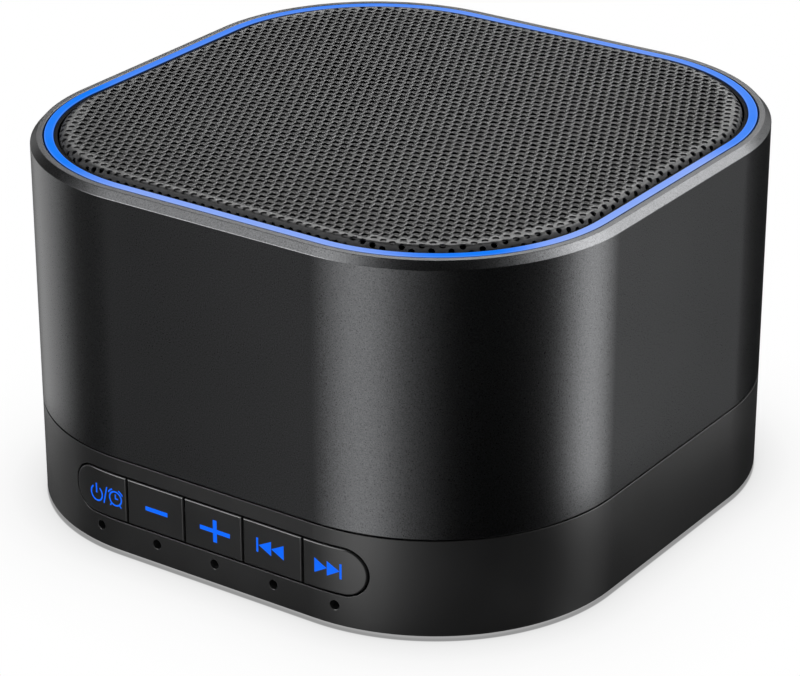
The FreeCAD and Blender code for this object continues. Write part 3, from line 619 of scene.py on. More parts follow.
def make_foam_pad():
    """Thin foam pad under the cell: rounded edges all round and a slightly uneven skin."""
    (x0, y0, z0), (x1, y1, z1) = ([c / MM for c in p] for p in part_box("battery_foam"))
    nx, ny, soft = 120, 78, 0.38
    mid, half = (z0 + z1) / 2, (z1 - z0) / 2
    rng = np.random.default_rng(7)
    rough = rng.normal(0, 1, (nx + 1, ny + 1))
    for _ in range(2):
        rough = (rough + np.roll(rough, 1, 0) + np.roll(rough, -1, 0) + np.roll(rough, 1, 1) + np.roll(rough, -1, 1)) / 5
    rough = rough / np.abs(rough).max()

    def spread(n, a, b):
        t = np.linspace(0, 1, n + 1)
        edge = np.minimum(t, 1 - t) * (b - a)
        s = np.where(edge < 1.5, 1.5 * (edge / 1.5) ** 1.7, edge)
        return np.where(t < 0.5, a + s, b - s)

    xs, ys = spread(nx, x0, x1), spread(ny, y0, y1)
    verts, top, low = [], {}, {}
    for i, x in enumerate(xs):
        for j, y in enumerate(ys):
            e = min(x - x0, x1 - x, y - y0, y1 - y)
            k = 1.0 if e >= soft else math.sqrt(max(0.0, 1 - (1 - e / soft) ** 2))
            rim = i in (0, nx) or j in (0, ny)
            z = half * k * (1 - 0.06 * (0.5 + 0.5 * rough[i, j]))
            top[i, j] = len(verts)
            verts.append((x, y, mid + (0 if rim else z)))
            if rim:
                low[i, j] = top[i, j]
            else:
                low[i, j] = len(verts)
                verts.append((x, y, mid - half * k))
    faces = []
    for i in range(nx):
        for j in range(ny):
            faces.append((top[i, j], top[i + 1, j], top[i + 1, j + 1], top[i, j + 1]))
            faces.append((low[i, j], low[i, j + 1], low[i + 1, j + 1], low[i + 1, j]))
    obj = make_piece("cell_foam_pad", verts, faces, slot="foam", stands_for=["battery_foam"])
    return obj


# ---- node graphs ------------------------------------------------------------------------------
class Graph:
    def __init__(self, tree):
        self.t = tree
        tree.nodes.clear()

    def add(self, kind, **props):
        n = self.t.nodes.new(kind)
        for k, v in props.items():
            setattr(n, k, v)
        return n

    def put(self, socket, value):
        if isinstance(value, bpy.types.NodeSocket):
            self.t.links.new(value, socket)
        elif isinstance(value, (int, float)):
            socket.default_value = value
        else:
            socket.default_value = tuple(value) + ((1.0,) if len(value) == 3 and len(socket.default_value) == 4 else ())

    def math(self, op, a, b=None, c=None, clamp=False):
        n = self.add("ShaderNodeMath", operation=op, use_clamp=clamp)
        for i, v in enumerate((a, b, c)):
            if v is not None:
                self.put(n.inputs[i], v)
        return n.outputs[0]

    def span(self, v, f0, f1, t0=0.0, t1=1.0, smooth=False):
        n = self.add("ShaderNodeMapRange", clamp=True, interpolation_type="SMOOTHSTEP" if smooth else "LINEAR")
        for i, x in enumerate((v, f0, f1, t0, t1)):
            self.put(n.inputs[i], x)
        return n.outputs[0]

    def mix(self, fac, a, b, blend="MIX"):
        n = self.add("ShaderNodeMix", data_type="RGBA", blend_type=blend)
        self.put(n.inputs[0], fac)
        self.put(n.inputs[6], a)
        self.put(n.inputs[7], b)
        return n.outputs[2]

    def place(self, stretch=(1, 1, 1), turn=(0, 0, 0)):
        c = self.add("ShaderNodeTexCoord").outputs["Object"]
        if stretch == (1, 1, 1) and turn == (0, 0, 0):
            return c
        m = self.add("ShaderNodeMapping")
        self.put(m.inputs["Vector"], c)
        m.inputs["Scale"].default_value = stretch
        m.inputs["Rotation"].default_value = turn
        return m.outputs[0]

    def noise(self, scale, detail=2.0, rough=0.5, at=None, distortion=0.0):
        n = self.add("ShaderNodeTexNoise")
        self.put(n.inputs["Vector"], at or self.place())
        n.inputs["Scale"].default_value = scale
        n.inputs["Detail"].default_value = detail
        n.inputs["Roughness"].default_value = rough
        n.inputs["Distortion"].default_value = distortion
        return n.outputs[0]

    def cells(self, scale, feature="F1", at=None, out="Distance"):
        n = self.add("ShaderNodeTexVoronoi", feature=feature)
        self.put(n.inputs["Vector"], at or self.place())
        n.inputs["Scale"].default_value = scale
        return n.outputs[out]

    def wave(self, scale, axis="X", distortion=0.0, at=None, kind="BANDS"):
        n = self.add("ShaderNodeTexWave", wave_type=kind)
        if kind == "BANDS":
            n.bands_direction = axis
        else:
            n.rings_direction = axis
        self.put(n.inputs["Vector"], at or self.place())
        n.inputs["Scale"].default_value = scale
        n.inputs["Distortion"].default_value = distortion
        return n.outputs[1]


class Finish(Graph):
    """A surface: one shader, with its colour, roughness and relief coming from textures."""

    def __init__(self, name, metallic=0.0, ior=1.5, level=0.5):
        self.m = bpy.data.materials.new(name)
        self.m.use_nodes = True
        super().__init__(self.m.node_tree)
        self.p = self.add("ShaderNodeBsdfPrincipled")
        out = self.add("ShaderNodeOutputMaterial")
        self.t.links.new(self.p.outputs[0], out.inputs[0])
        self.set("Metallic", metallic)
        self.set("IOR", ior)
        self.set("Specular IOR Level", level)

    def set(self, socket, value):
        self.put(self.p.inputs[socket], value)
        return self

    def relief(self, height, strength, depth_mm):
        b = self.add("ShaderNodeBump")
        b.inputs["Strength"].default_value = strength
        b.inputs["Distance"].default_value = depth_mm * MM
        self.put(b.inputs["Height"], height)
        self.put(self.p.inputs["Normal"], b.outputs[0])
        return self


def shades(g, colour, dark, light, fac):
    """The colour, between two shares of its brightness."""
    return g.mix(fac, [c * dark for c in colour], [c * light for c in colour])


def sleeve_metal():
    g = Finish("sleeve_metal", metallic=1.0)
    speck, cloud = g.noise(5200, 2.5, 0.6), g.noise(55, 3.0)
    g.set("Base Color", shades(g, (0.070, 0.071, 0.073), 0.64, 1.4, g.span(speck, 0.3, 0.7)))
    g.set("Roughness", g.math("ADD", g.span(cloud, 0.3, 0.7, 0.285, 0.297), g.span(speck, 0.3, 0.7, -0.02, 0.03)))
    g.relief(speck, 0.25, 0.004)
    return g.m


def base_plastic():
    g = Finish("base_plastic")
    grain, cloud = g.noise(4300, 2.0, 0.6), g.noise(70, 3.0)
    g.set("Base Color", shades(g, (0.0088, 0.0088, 0.0090), 0.8, 1.2, g.span(cloud, 0.3, 0.7)))
    g.set("Roughness", g.math("ADD", g.span(grain, 0.3, 0.7, 0.31, 0.38), g.span(cloud, 0.3, 0.7, -0.015, 0.015)))
    g.relief(grain, 0.22, 0.006)
    return g.m


def button_plastic():
    g = Finish("button_plastic")
    grain, cloud = g.noise(5200, 2.0, 0.55), g.noise(120, 2.0)
    g.set("Base Color", shades(g, (0.0100, 0.0100, 0.0102), 0.85, 1.15, g.span(cloud, 0.3, 0.7)))
    g.set("Roughness", g.math("ADD", g.span(grain, 0.3, 0.7, 0.29, 0.34), g.span(cloud, 0.3, 0.7, -0.01, 0.01)))
    g.relief(grain, 0.12, 0.005)
    return g.m


def grille_paint():
    g = Finish("grille_paint", level=0.76)
    peel, cloud = g.noise(2600, 2.0, 0.5), g.noise(40, 3.0)
    g.set("Base Color", shades(g, (0.004, 0.004, 0.0041), 0.8, 1.3, g.span(cloud, 0.3, 0.7)))
    # the coat is thin and dry down the rolled edge
    dry = g.span(g.add_axis("Z"), 60.1 * MM, 60.45 * MM, 0.42, 0.0, True)
    g.set("Roughness", g.math("ADD", g.math("ADD", g.span(peel, 0.3, 0.7, 0.37, 0.43), g.span(cloud, 0.3, 0.7, -0.02, 0.02)), dry))
    g.relief(peel, 0.12, 0.01)
    return g.m


def ring_light():
    """Lit blue diffuser ring: deep blue in two corners, with a painted sheen that makes it paler along the front and
    the right and a painted highlight on its edges; its glow is dimmed down its sides, as painted shade in the gap
    beside it."""
    g = Finish("ring_light", level=0.0)
    x, y, z = (g.add_axis(a) for a in "XYZ")
    milk, cloud = g.noise(900, 2.0), g.noise(60, 2.0)
    # share of the way from the ring's outer to its inner edge
    qx = g.math("MAXIMUM", g.math("SUBTRACT", g.math("ABSOLUTE", x), FLAT * MM), 0.0)
    qy = g.math("MAXIMUM", g.math("SUBTRACT", g.math("ABSOLUTE", y), FLAT * MM), 0.0)
    reach = g.math("SQRT", g.math("ADD", g.math("MULTIPLY", qx, qx), g.math("MULTIPLY", qy, qy)))
    off_mid = g.math("ABSOLUTE", g.math("SUBTRACT", reach, (CORNER_R - 2.9) * MM))
    # edge: a painted highlight along the ring's rounded edges
    edge = g.span(off_mid, 0.38 * MM, 0.68 * MM, 0, 1, True)
    turn = g.math("MULTIPLY", g.math("ARCTAN2", x, g.math("MULTIPLY", y, -1.0)), 180 / math.pi)
    swing = g.span(cloud, 0.35, 0.65, -0.04, 0.04)

    def near(centre, half, soft):
        up = g.span(turn, centre - half - soft, centre - half, 0, 1, True)
        return g.math("MULTIPLY", up, g.span(turn, centre + half, centre + half + soft, 1, 0, True))

    # the painted sheen is kept out of two corners, where the blue stays deepest
    sheen_free_corners = g.math("ADD", near(-52, 16, 10), near(44, 3, 9), clamp=True)
    # light and back: where a painted sheen falls, along the front and the right and a little at the back
    light = g.math("ADD", near(4, 20, 16), near(80, 20, 14), clamp=True)
    back = g.span(g.math("ABSOLUTE", turn), 140, 165, 0, 0.22, True)
    # pale: the share of paler blue in the glow, a painted sheen, with the painted edge highlight added
    pale = g.math("ADD", g.math("ADD", g.math("MULTIPLY", light, 0.54), 0.18), back)
    pale = g.math("MULTIPLY", pale, g.math("SUBTRACT", 1.0, sheen_free_corners))
    pale = g.math("ADD", g.math("ADD", pale, g.math("MULTIPLY", edge, 0.14)), swing, clamp=True)
    g.set("Base Color", g.mix(g.span(milk, 0.3, 0.7), (0.004, 0.01, 0.03), (0.007, 0.018, 0.05)))
    g.set("Emission Color", g.mix(pale, (0.004, 0.195, 0.92), (0.33, 0.45, 0.88)))
    # the glow fades below the ring's top: painted shade down its sides, in the gap
    g.set("Emission Strength", g.span(z, 59.86 * MM, 60.0 * MM, 0.05, 1.0, True))
    g.set("Roughness", g.span(milk, 0.3, 0.7, 0.42, 0.5))
    g.relief(milk, 0.05, 0.01)
    return g.m


def acoustic_cloth():
    """Fine dark weave: threads over and under at 0.25 mm."""
    g = Finish("acoustic_cloth", level=0.15)
    warp, weft = g.wave(1250, "X", 0.2), g.wave(1250, "Y", 0.2)
    weave = g.math("MAXIMUM", warp, weft)
    fuzz = g.noise(2400, 3.0, 0.6)
    g.set("Base Color", shades(g, (0.27, 0.27, 0.272), 0.7, 1.15, g.span(weave, 0.2, 0.9)))
    g.set("Roughness", g.span(fuzz, 0.3, 0.7, 0.8, 0.95))
    g.relief(g.math("ADD", weave, g.math("MULTIPLY", fuzz, 0.4)), 0.5, 0.04)
    return g.m


def glow(name, colour, strength, base, rough=0.3, level=0.5):
    """A lit blue diffuser: its milky body shows in small swings of brightness."""
    g = Finish(name, level=level)
    milk, cloud = g.noise(900, 2.0), g.noise(90, 2.0)
    fac = g.math("ADD", g.span(milk, 0.3, 0.7, 0.0, 0.35), g.span(cloud, 0.3, 0.7, 0.0, 0.65))
    g.set("Base Color", shades(g, base, 0.85, 1.15, fac))
    g.set("Emission Color", shades(g, colour, 0.95, 1.04, fac))
    g.set("Emission Strength", strength)
    g.set("Roughness", g.span(milk, 0.3, 0.7, rough - 0.03, rough + 0.03))
    g.relief(milk, 0.05, 0.01)
    return g.m


def plain_moulding(name, colour, rough=0.45, grain_mm=0.25, swing=0.15, level=0.5, depth=0.01):
    g = Finish(name, level=level)
    grain, cloud = g.noise(1000 / grain_mm, 2.0, 0.6), g.noise(90, 3.0)
    g.set("Base Color", shades(g, colour, 1 - swing, 1 + swing, g.span(cloud, 0.3, 0.7)))
    g.set("Roughness", g.math("ADD", g.span(grain, 0.3, 0.7, rough - 0.04, rough + 0.04), g.span(cloud, 0.3, 0.7, -0.02, 0.02)))
    g.relief(grain, 0.2, depth)
    return g.m


def plated_steel(name, colour, rough=0.3, lines=(900, 900, 9000)):
    g = Finish(name, metallic=1.0)
    drawn, cloud = g.noise(1.0, 3.0, 0.6, at=g.place(stretch=lines)), g.noise(260, 3.0)
    g.set("Base Color", shades(g, colour, 0.85, 1.1, g.math("ADD", g.span(drawn, 0.3, 0.7, 0, 0.5), g.span(cloud, 0.3, 0.7, 0, 0.5))))
    g.set("Roughness", g.math("ADD", g.span(drawn, 0.3, 0.7, rough - 0.06, rough + 0.08), g.span(cloud, 0.3, 0.7, -0.03, 0.03)))
    g.relief(drawn, 0.15, 0.01)
    return g.m


def rubber(name, colour, rough=0.75):
    g = Finish(name, level=0.35)
    skin, dust = g.noise(3200, 3.0, 0.6), g.noise(240, 4.0)
    g.set("Base Color", shades(g, colour, 0.8, 1.35, g.span(dust, 0.35, 0.75)))
    g.set("Roughness", g.span(skin, 0.3, 0.7, rough - 0.06, rough + 0.06))
    g.relief(skin, 0.35, 0.015)
    return g.m


def ferrite(name, colour, rough=0.6):
    g = Finish(name)
    speck, chips = g.noise(2200, 3.0, 0.7), g.cells(900)
    g.set("Base Color", shades(g, colour, 0.6, 1.6, g.math("MULTIPLY", g.span(speck, 0.3, 0.7), g.span(chips, 0.0, 0.6, 0.6, 1.0))))
    g.set("Roughness", g.span(speck, 0.3, 0.7, rough - 0.12, rough + 0.1))
    g.relief(speck, 0.3, 0.02)
    return g.m


def wound_copper():
    g = Finish("wound_copper", metallic=1.0)
    turns = g.wave(1400, "Z", 0.4)
    g.set("Base Color", g.mix(g.span(turns, 0.1, 0.9), (0.25, 0.09, 0.035), (0.86, 0.42, 0.19)))
    g.set("Roughness", g.span(turns, 0.0, 1.0, 0.42, 0.24))
    g.relief(turns, 0.6, 0.05)
    return g.m


def pressed_paper():
    g = Finish("pressed_paper", level=0.3)
    fibre = g.noise(1.0, 4.0, 0.7, at=g.place(stretch=(1500, 2600, 1500)), distortion=1.2)
    lumps = g.noise(500, 4.0)
    g.set("Base Color", shades(g, (0.026, 0.026, 0.028), 0.5, 2.0, g.math("MULTIPLY", g.span(fibre, 0.3, 0.7), g.span(lumps, 0.2, 0.8, 0.5, 1.0))))
    g.set("Roughness", g.span(fibre, 0.3, 0.7, 0.75, 0.92))
    g.relief(g.math("ADD", fibre, lumps), 0.5, 0.04)
    return g.m


def woven_cloth():
    g = Finish("woven_cloth", level=0.3)
    warp, weft = g.wave(420, "X"), g.wave(420, "Y")
    weave = g.math("MAXIMUM", warp, weft)
    resin = g.noise(220, 3.0)
    g.set("Base Color", g.mix(g.span(weave, 0.1, 0.9), (0.22, 0.12, 0.035), (0.55, 0.38, 0.16)))
    g.set("Roughness", g.span(resin, 0.3, 0.7, 0.5, 0.75))
    g.relief(weave, 0.7, 0.06)
    return g.m


def open_foam():
    g = Finish("open_foam", level=0.25)
    pores = g.cells(1900)
    fine = g.noise(3500, 2.0)
    g.set("Base Color", g.mix(g.span(pores, 0.05, 0.55), (0.012, 0.012, 0.013), (0.075, 0.075, 0.078)))
    g.set("Roughness", g.span(fine, 0.3, 0.7, 0.85, 0.97))
    g.relief(pores, 0.8, 0.12)
    return g.m


def circuit_board():
    """Green solder mask over copper tracks, with a fine weave under it."""
    g = Finish("circuit_board", ior=1.52)
    lanes = g.cells(260, "DISTANCE_TO_EDGE", at=g.place(turn=(0, 0, 0.6)))
    tracks = g.span(lanes, 0.03, 0.06, 1.0, 0.0)
    weave = g.math("MAXIMUM", g.wave(330, "X"), g.wave(330, "Y"))
    under = g.mix(g.span(weave, 0.2, 0.9), (0.006, 0.052, 0.022), (0.010, 0.075, 0.031))
    g.set("Base Color", g.mix(tracks, under, (0.016, 0.14, 0.052)))
    g.set("Roughness", g.math("ADD", g.span(g.noise(900, 2.0), 0.3, 0.7, 0.22, 0.3), g.math("MULTIPLY", tracks, 0.05)))
    g.relief(g.math("ADD", tracks, g.math("MULTIPLY", weave, 0.15)), 0.35, 0.03)
    return g.m


def moulded_epoxy():
    g = Finish("moulded_epoxy")
    grit, cloud = g.noise(3800, 3.0, 0.7), g.noise(300, 2.0)
    g.set("Base Color", shades(g, (0.018, 0.018, 0.019), 0.6, 1.6, g.span(grit, 0.3, 0.7)))
    g.set("Roughness", g.math("ADD", g.span(grit, 0.3, 0.7, 0.5, 0.66), g.span(cloud, 0.3, 0.7, -0.04, 0.04)))
    g.relief(grit, 0.4, 0.02)
    return g.m


def capacitor_can():
    """Bare can, with fine lines drawn along its length."""
    g = Finish("capacitor_can", metallic=1.0)
    drawn = g.noise(1.0, 3.0, 0.6, at=g.place(stretch=(700, 700, 12000)))
    g.set("Base Color", shades(g, (0.6, 0.6, 0.62), 0.8, 1.08, g.span(drawn, 0.3, 0.7)))
    g.set("Roughness", g.span(drawn, 0.3, 0.7, 0.2, 0.34))
    g.relief(drawn, 0.15, 0.01)
    return g.m


def natural_nylon():
    g = Finish("natural_nylon")
    cloud, grain = g.noise(260, 3.0), g.noise(4200, 2.0)
    g.set("Base Color", g.mix(g.span(cloud, 0.3, 0.7), (0.66, 0.62, 0.53), (0.78, 0.76, 0.70)))
    g.set("Roughness", g.span(grain, 0.3, 0.7, 0.36, 0.46))
    g.set("Subsurface Weight", 0.15)
    g.p.inputs["Subsurface Radius"].default_value = (0.0006, 0.0005, 0.0004)
    g.relief(grain, 0.15, 0.01)
    return g.m


def white_package():
    """Pale package with the yellow of its phosphor in blotches."""
    g = Finish("white_package")
    dots = g.noise(520, 2.0)
    g.set("Base Color", g.mix(g.span(dots, 0.45, 0.6), (0.74, 0.75, 0.76), (0.80, 0.68, 0.28)))
    g.set("Roughness", g.span(g.noise(3000, 2.0), 0.3, 0.7, 0.25, 0.38))
    g.relief(dots, 0.1, 0.02)
    return g.m


def clear_acrylic():
    g = Finish("clear_acrylic", ior=1.49, level=0.1)
    flow = g.noise(160, 3.0, distortion=0.6)
    g.set("Base Color", g.mix(g.span(flow, 0.3, 0.7), (0.10, 0.105, 0.11), (0.14, 0.145, 0.15)))
    g.set("Roughness", g.span(flow, 0.3, 0.7, 0.05, 0.12))
    g.set("Transmission Weight", 0.9)
    g.relief(flow, 0.1, 0.02)
    return g.m


def cell_wrap():
    """Silvery pouch foil with soft creases, under a band of amber tape."""
    g = Finish("cell_wrap", metallic=0.6)
    crease = g.noise(1.0, 4.0, 0.6, at=g.place(stretch=(160, 420, 300)), distortion=1.5)
    band = g.math("MULTIPLY", g.span(g.add_axis("X"), 0.0165, 0.0168), g.span(g.add_axis("X"), 0.0262, 0.0265, 1.0, 0.0))
    g.set("Base Color", g.mix(band, shades(g, (0.42, 0.45, 0.50), 0.75, 1.15, g.span(crease, 0.3, 0.7)), (0.62, 0.30, 0.05)))
    g.set("Roughness", g.span(crease, 0.3, 0.7, 0.24, 0.42))
    g.relief(crease, 0.35, 0.08)
    return g.m


def insulation(name, colour):
    g = Finish(name)
    lay, scuff = g.noise(1800, 2.0), g.noise(300, 3.0)
    g.set("Base Color", shades(g, colour, 0.8, 1.2, g.span(scuff, 0.3, 0.7)))
    g.set("Roughness", g.span(lay, 0.3, 0.7, 0.38, 0.5))
    g.relief(lay, 0.15, 0.015)
    return g.m


def flat_ribbon():
    """White flat cable: its conductors show through as fine grey lines."""
    g = Finish("flat_ribbon")
    lines = g.span(g.wave(160, "X"), 0.35, 0.65)
    g.set("Base Color", g.mix(lines, (0.80, 0.80, 0.79), (0.48, 0.48, 0.50)))
    g.set("Roughness", g.span(g.noise(900, 2.0), 0.3, 0.7, 0.3, 0.42))
    g.relief(lines, 0.3, 0.03)
    return g.m


def add_axis(self, axis):
    s = self.add("ShaderNodeSeparateXYZ")
    self.put(s.inputs[0], self.place())
    return s.outputs[axis]


Graph.add_axis = add_axis


def dress_nodes():
    """A finish for every construction piece that stays."""
    finishes = {
        base_plastic(): ["base_housing"],
        button_plastic(): ["button_power", "button_minus", "button_plus", "button_previous", "button_next"],
        rubber("foot_rubber", (0.022, 0.022, 0.023)): ["rubber_feet"],
        plated_steel("screw_steel", (0.46, 0.46, 0.47), 0.32): ["case_screws", "grille_frame_screws", "speaker_screws", "board_screws"],
        plain_moulding("frame_moulding", (0.012, 0.012, 0.0125), 0.5): ["headphone_jack"],
        plain_moulding("dull_moulding", (0.004, 0.004, 0.0042), 0.6, level=0.04): ["top_frame", "grille_frame"],
        white_package(): ["led_strip", "led_chips", "indicator_leds"],
        plated_steel("pole_steel", (0.36, 0.36, 0.37), 0.38, (260, 260, 3000)): ["magnet_yoke", "front_plate", "speaker_basket"],
        ferrite("ring_ferrite", (0.045, 0.045, 0.048)): ["ring_magnet"],
        ferrite("choke_ferrite", (0.10, 0.10, 0.105), 0.5): ["power_inductor"],
        natural_nylon(): ["speaker_terminals", "lead_connectors", "plunger_power", "plunger_minus", "plunger_plus", "plunger_previous",
                          "plunger_next"],
        wound_copper(): ["voice_coil"],
        pressed_paper(): ["speaker_cone", "dust_cap"],
        circuit_board(): ["main_board", "key_board"],
        moulded_epoxy(): ["processor_chip", "amplifier_chip", "switch_bodies", "charging_socket_tongue"],
        capacitor_can(): ["filter_capacitors"],
        plated_steel("socket_nickel", (0.62, 0.61, 0.58), 0.2, (3000, 400, 3000)): ["charging_socket_shell"],
        clear_acrylic(): ["indicator_light_pipe"],
        cell_wrap(): ["battery_cell"],
        insulation("lead_black", (0.02, 0.02, 0.021)): ["speaker_leads", "light_leads"],
        insulation("lead_red", (0.42, 0.018, 0.016)): ["battery_leads"],
        flat_ribbon(): ["key_ribbon"],
    }
    for material, names in finishes.items():
        for n in names:
            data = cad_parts[n].data
            data.materials.clear()
            data.materials.append(material)


# ---- surroundings -------------------------------------------------------------------------------
def window(g, v, a, b, soft_a, soft_b):
    """1 between a and b, falling off smoothly over the soft widths."""
    up = g.span(v, a - soft_a, a + soft_a, 0, 1, True)
    fall = g.span(v, b - soft_b, b + soft_b, 1, 0, True)
    return g.math("MULTIPLY", up, fall)


def make_surroundings():
    """Soft boxes round the object for its gloss, an even dome for its colour, and a pale backdrop."""
    world = bpy.data.worlds.new("studio")
    bpy.context.scene.world = world
    world.use_nodes = True
    world.cycles.sampling_method = "NONE"
    g = Graph(world.node_tree)
    out, back = g.add("ShaderNodeOutputWorld"), g.add("ShaderNodeBackground")
    g.t.links.new(back.outputs[0], out.inputs[0])
    way = g.add("ShaderNodeTexCoord").outputs["Generated"]
    split = g.add("ShaderNodeSeparateXYZ")
    g.put(split.inputs[0], way)
    el = g.math("MULTIPLY", g.math("ARCSINE", split.outputs[2]), 180 / math.pi)

    def around(centre):
        """Azimuth from a centre, in degrees: 0 is straight in front of the object, 90 on its right."""
        turn = g.add("ShaderNodeVectorRotate", rotation_type="Z_AXIS")
        g.put(turn.inputs["Vector"], way)
        turn.inputs["Angle"].default_value = -math.radians(centre)
        s = g.add("ShaderNodeSeparateXYZ")
        g.put(s.inputs[0], turn.outputs[0])
        return g.math("MULTIPLY", g.math("ARCTAN2", s.outputs[0], g.math("MULTIPLY", s.outputs[1], -1.0)), 180 / math.pi)

    # (azimuth, half width, softness, lowest, highest elevation, softness of each, strength)
    boxes = [
        (-8, 15, 13, -90, 1, 1, 15, 2.51),
        (14, 16, 13, -90, -10, 1, 14, 0.42),
        (126, 11, 13, -90, 43, 1, 15, 4.26),
        (147, 26, 5, 21, 43, 1, 12, 6.98),
        (151, 42, 22, -6, 39, 13, 12, 0.64),
        (-98, 21, 12, -90, 2, 1, 13, 0.96),
        (-152, 15, 3, 28, 35, 1, 7, 10.9),
        (-34, 11, 6, 0, 39, 9, 20, 4.85),
        (-37, 19, 21, 18, 58, 7, 8, 4.20),
        (117, 19, 14, 36, 56, 9, 11, 3.83),
        (-161, 18, 9, 24, 34, 11, 6, 1.0),
        (-132, 10, 8, 34, 50, 6, 6, 3.5),
        (-118, 10, 8, 14, 24, 6, 6, 2.0),
        (-37, 14, 6, 7, 22, 5, 5, 9.0),
    ]
    total = None
    for az, half, soft, lo, hi, soft_lo, soft_hi, strength in boxes:
        v = g.math("MULTIPLY", window(g, around(az), -half, half, soft, soft), window(g, el, lo, hi, soft_lo, soft_hi))
        v = g.math("MULTIPLY", v, strength)
        total = v if total is None else g.math("ADD", total, v)
    total = g.math("ADD", total, 0.0005)
    ray = g.add("ShaderNodeLightPath")
    gloss = g.math("MULTIPLY", ray.outputs["Is Glossy Ray"], total)
    rest = g.math("SUBTRACT", 1.0, ray.outputs["Is Glossy Ray"])
    g.put(back.inputs["Strength"], g.math("ADD", gloss, rest))
    back.inputs["Color"].default_value = (1, 1, 1, 1)


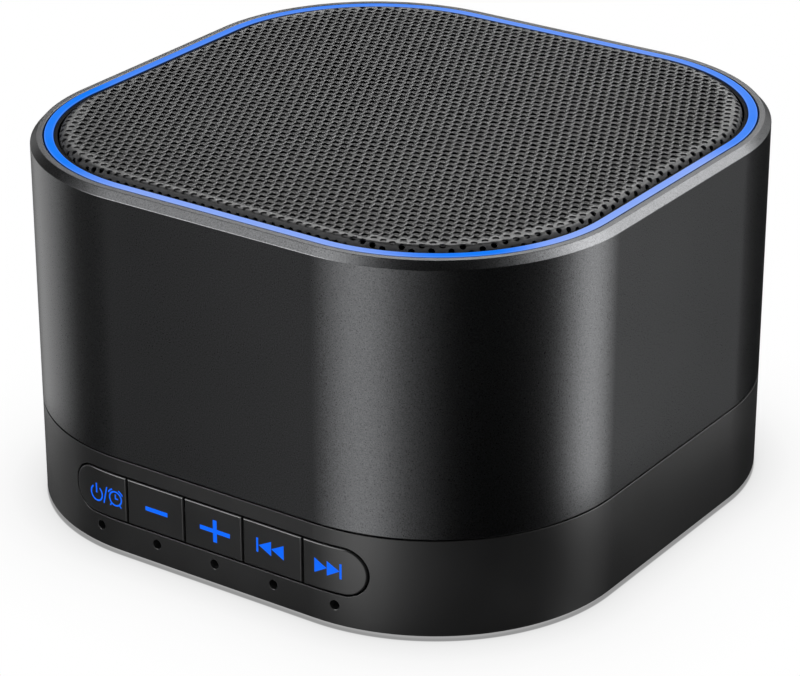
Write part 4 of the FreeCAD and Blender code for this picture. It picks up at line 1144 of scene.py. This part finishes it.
def make_floor():
    """Pale seamless floor with its shadow painted in: it darkens only close to the object and under it."""
    me = bpy.data.meshes.new("floor")
    rings = [0.02, 0.06, 0.12, 0.25, 0.5, 1.0, 2.0, 4.0, 6.5]
    n = 64
    verts = [(0, 0, 0)] + [(r * math.cos(2 * math.pi * k / n), r * math.sin(2 * math.pi * k / n), 0) for r in rings for k in range(n)]
    faces = [(0, 1 + k, 1 + (k + 1) % n) for k in range(n)]
    for i in range(len(rings) - 1):
        for k in range(n):
            a, b = 1 + i * n + k, 1 + i * n + (k + 1) % n
            faces.append((a, a + n, b + n, b))
    me.from_pydata(verts, [], faces)
    floor = bpy.data.objects.new("floor", me)
    bpy.context.scene.collection.objects.link(floor)
    m = bpy.data.materials.new("pale_floor")
    m.use_nodes = True
    g = Graph(m.node_tree)
    s = g.add("ShaderNodeSeparateXYZ")
    g.put(s.inputs[0], g.place())
    x, y = s.outputs[0], s.outputs[1]
    # distance from the outline of the object, negative under it, in millimetres
    qx = g.math("MAXIMUM", g.math("SUBTRACT", g.math("ABSOLUTE", x), FLAT * MM), 0.0)
    qy = g.math("MAXIMUM", g.math("SUBTRACT", g.math("ABSOLUTE", y), FLAT * MM), 0.0)
    reach = g.math("SQRT", g.math("ADD", g.math("MULTIPLY", qx, qx), g.math("MULTIPLY", qy, qy)))
    d = g.math("MULTIPLY", g.math("SUBTRACT", reach, CORNER_R * MM), 1000.0)
    ramp = g.add("ShaderNodeValToRGB")
    g.put(ramp.inputs[0], g.span(d, -5.0, 25.0))
    e = ramp.color_ramp.elements
    # painted contact shadow: near black deep under the object, a grey band under its edge, then pale grey rising to
    # white 25 mm out
    shade = [(-5.0, 0.02), (-3.2, 0.10), (-1.9, 0.34), (-1.0, 0.37), (-0.6, 0.29), (-0.08, 0.29), (0.12, 0.78), (1.0, 0.83), (2.0, 0.86),
             (4.0, 0.90), (6.0, 0.935), (10.0, 0.967), (15.0, 0.985), (25.0, 1.0)]
    e[0].position, e[0].color = 0.0, (0.02, 0.02, 0.02, 1)
    e[1].position, e[1].color = 1.0, (1, 1, 1, 1)
    for at, v in shade[1:-1]:
        e.new((at + 5.0) / 30.0).color = (v, v, v, 1)
    light = g.add("ShaderNodeEmission")
    g.put(light.inputs[0], ramp.outputs[0])
    clear = g.add("ShaderNodeBsdfTransparent")
    # in the object's gloss the floor only dims what comes from below, close to the object and more at its sides: a
    # painted shade in the object's reflections
    turn = g.math("MULTIPLY", g.math("ARCTAN2", x, g.math("MULTIPLY", y, -1.0)), 180 / math.pi)
    right = g.math("MULTIPLY", g.span(turn, 48, 68, 0, 0.84, True), g.span(g.math("SUBTRACT", d, g.span(turn, 82, 100, 31.5, 23.5)), -2, 2, 1, 0, True))
    left = g.math("MULTIPLY", g.span(turn, -52, -32, 0.57, 0, True), g.span(g.math("SUBTRACT", d, g.span(turn, -73, -48, 20.5, 28.0)), -2, 2, 1, 0, True))
    painted_flank_shade = g.math("ADD", left, right)
    # near: painted shade in the reflections close to the object, strongest at the front, weaker on the right, none on
    # the left
    near = g.math("MULTIPLY", g.span(d, 0.0, 27.0, 0.74, 0.0), g.span(turn, -62, -42, 0, 1, True))
    near = g.math("MULTIPLY", near, g.span(turn, 50, 72, 1, 0.3, True))
    keep = g.math("MULTIPLY", g.math("SUBTRACT", 1.0, painted_flank_shade), g.math("SUBTRACT", 1.0, near))
    keep = g.math("MULTIPLY", keep, g.span(d, -0.5, 0.5))
    painted_shade_veil = g.add("ShaderNodeBsdfTransparent")
    tint = g.add("ShaderNodeCombineColor")
    for k in range(3):
        g.put(tint.inputs[k], keep)
    g.put(painted_shade_veil.inputs[0], tint.outputs[0])
    by_ray = g.add("ShaderNodeMixShader")
    g.put(by_ray.inputs[0], g.add("ShaderNodeLightPath").outputs["Is Glossy Ray"])
    g.put(by_ray.inputs[1], light.outputs[0])
    g.put(by_ray.inputs[2], painted_shade_veil.outputs[0])
    mix = g.add("ShaderNodeMixShader")
    g.put(mix.inputs[0], g.add("ShaderNodeNewGeometry").outputs["Backfacing"])
    g.put(mix.inputs[1], by_ray.outputs[0])
    g.put(mix.inputs[2], clear.outputs[0])
    out = g.add("ShaderNodeOutputMaterial")
    g.put(out.inputs[0], mix.outputs[0])
    me.materials.append(m)


# ---- the object --------------------------------------------------------------------------------
make_camera()
bpy.context.scene.view_settings.view_transform = "Standard"

path = outline_path(48)
sleeve = sweep("metal_sleeve", path, [
    (0, 16.7, 0.15), (0, 58.9, 0.2), (-1.0, RIM_Z, 0.2), (-2.0, RIM_Z, 0.15),
    (-2.0, 51.5, 0), (-2.8, 51.5, 0.15), (-2.8, 16.7, 0.15)], slot="sleeve_metal", stands_for=["sleeve"])
sleeve.data.materials.append(sleeve_metal())

light_ring = sweep("glowing_ring", path, [
    (-2.2, 54.8, 0.1), (-2.2, 60.05, 0.15), (-3.6, 60.05, 0.15), (-3.6, 56.4, 0),
    (-6.4, 56.4, 0.1), (-6.4, 55.6, 0.1), (-3.6, 55.6, 0), (-3.6, 54.8, 0.1)], fine=6, slot="light_diffuser", stands_for=["light_ring"])
light_ring.data.materials.append(ring_light())

grille = make_grille()
grille.data.materials.append(grille_paint())

cloth = make_cloth()
cloth.data.materials.append(acoustic_cloth())

symbol_glow = glow("symbol_glow", (0.0, 0.140, 1.0), 1.0, (0.002, 0.004, 0.01), 0.5, 0.08)
for s in make_symbols():
    s.data.materials.append(symbol_glow)

surround = make_surround()
surround.data.materials.append(rubber("roll_rubber", (0.018, 0.018, 0.019), 0.6))
spider = make_spider()
spider.data.materials.append(woven_cloth())
foam = open_foam()
make_gasket().data.materials.append(foam)
make_foam_pad().data.materials.append(foam)
dress_nodes()

make_surroundings()
make_floor()
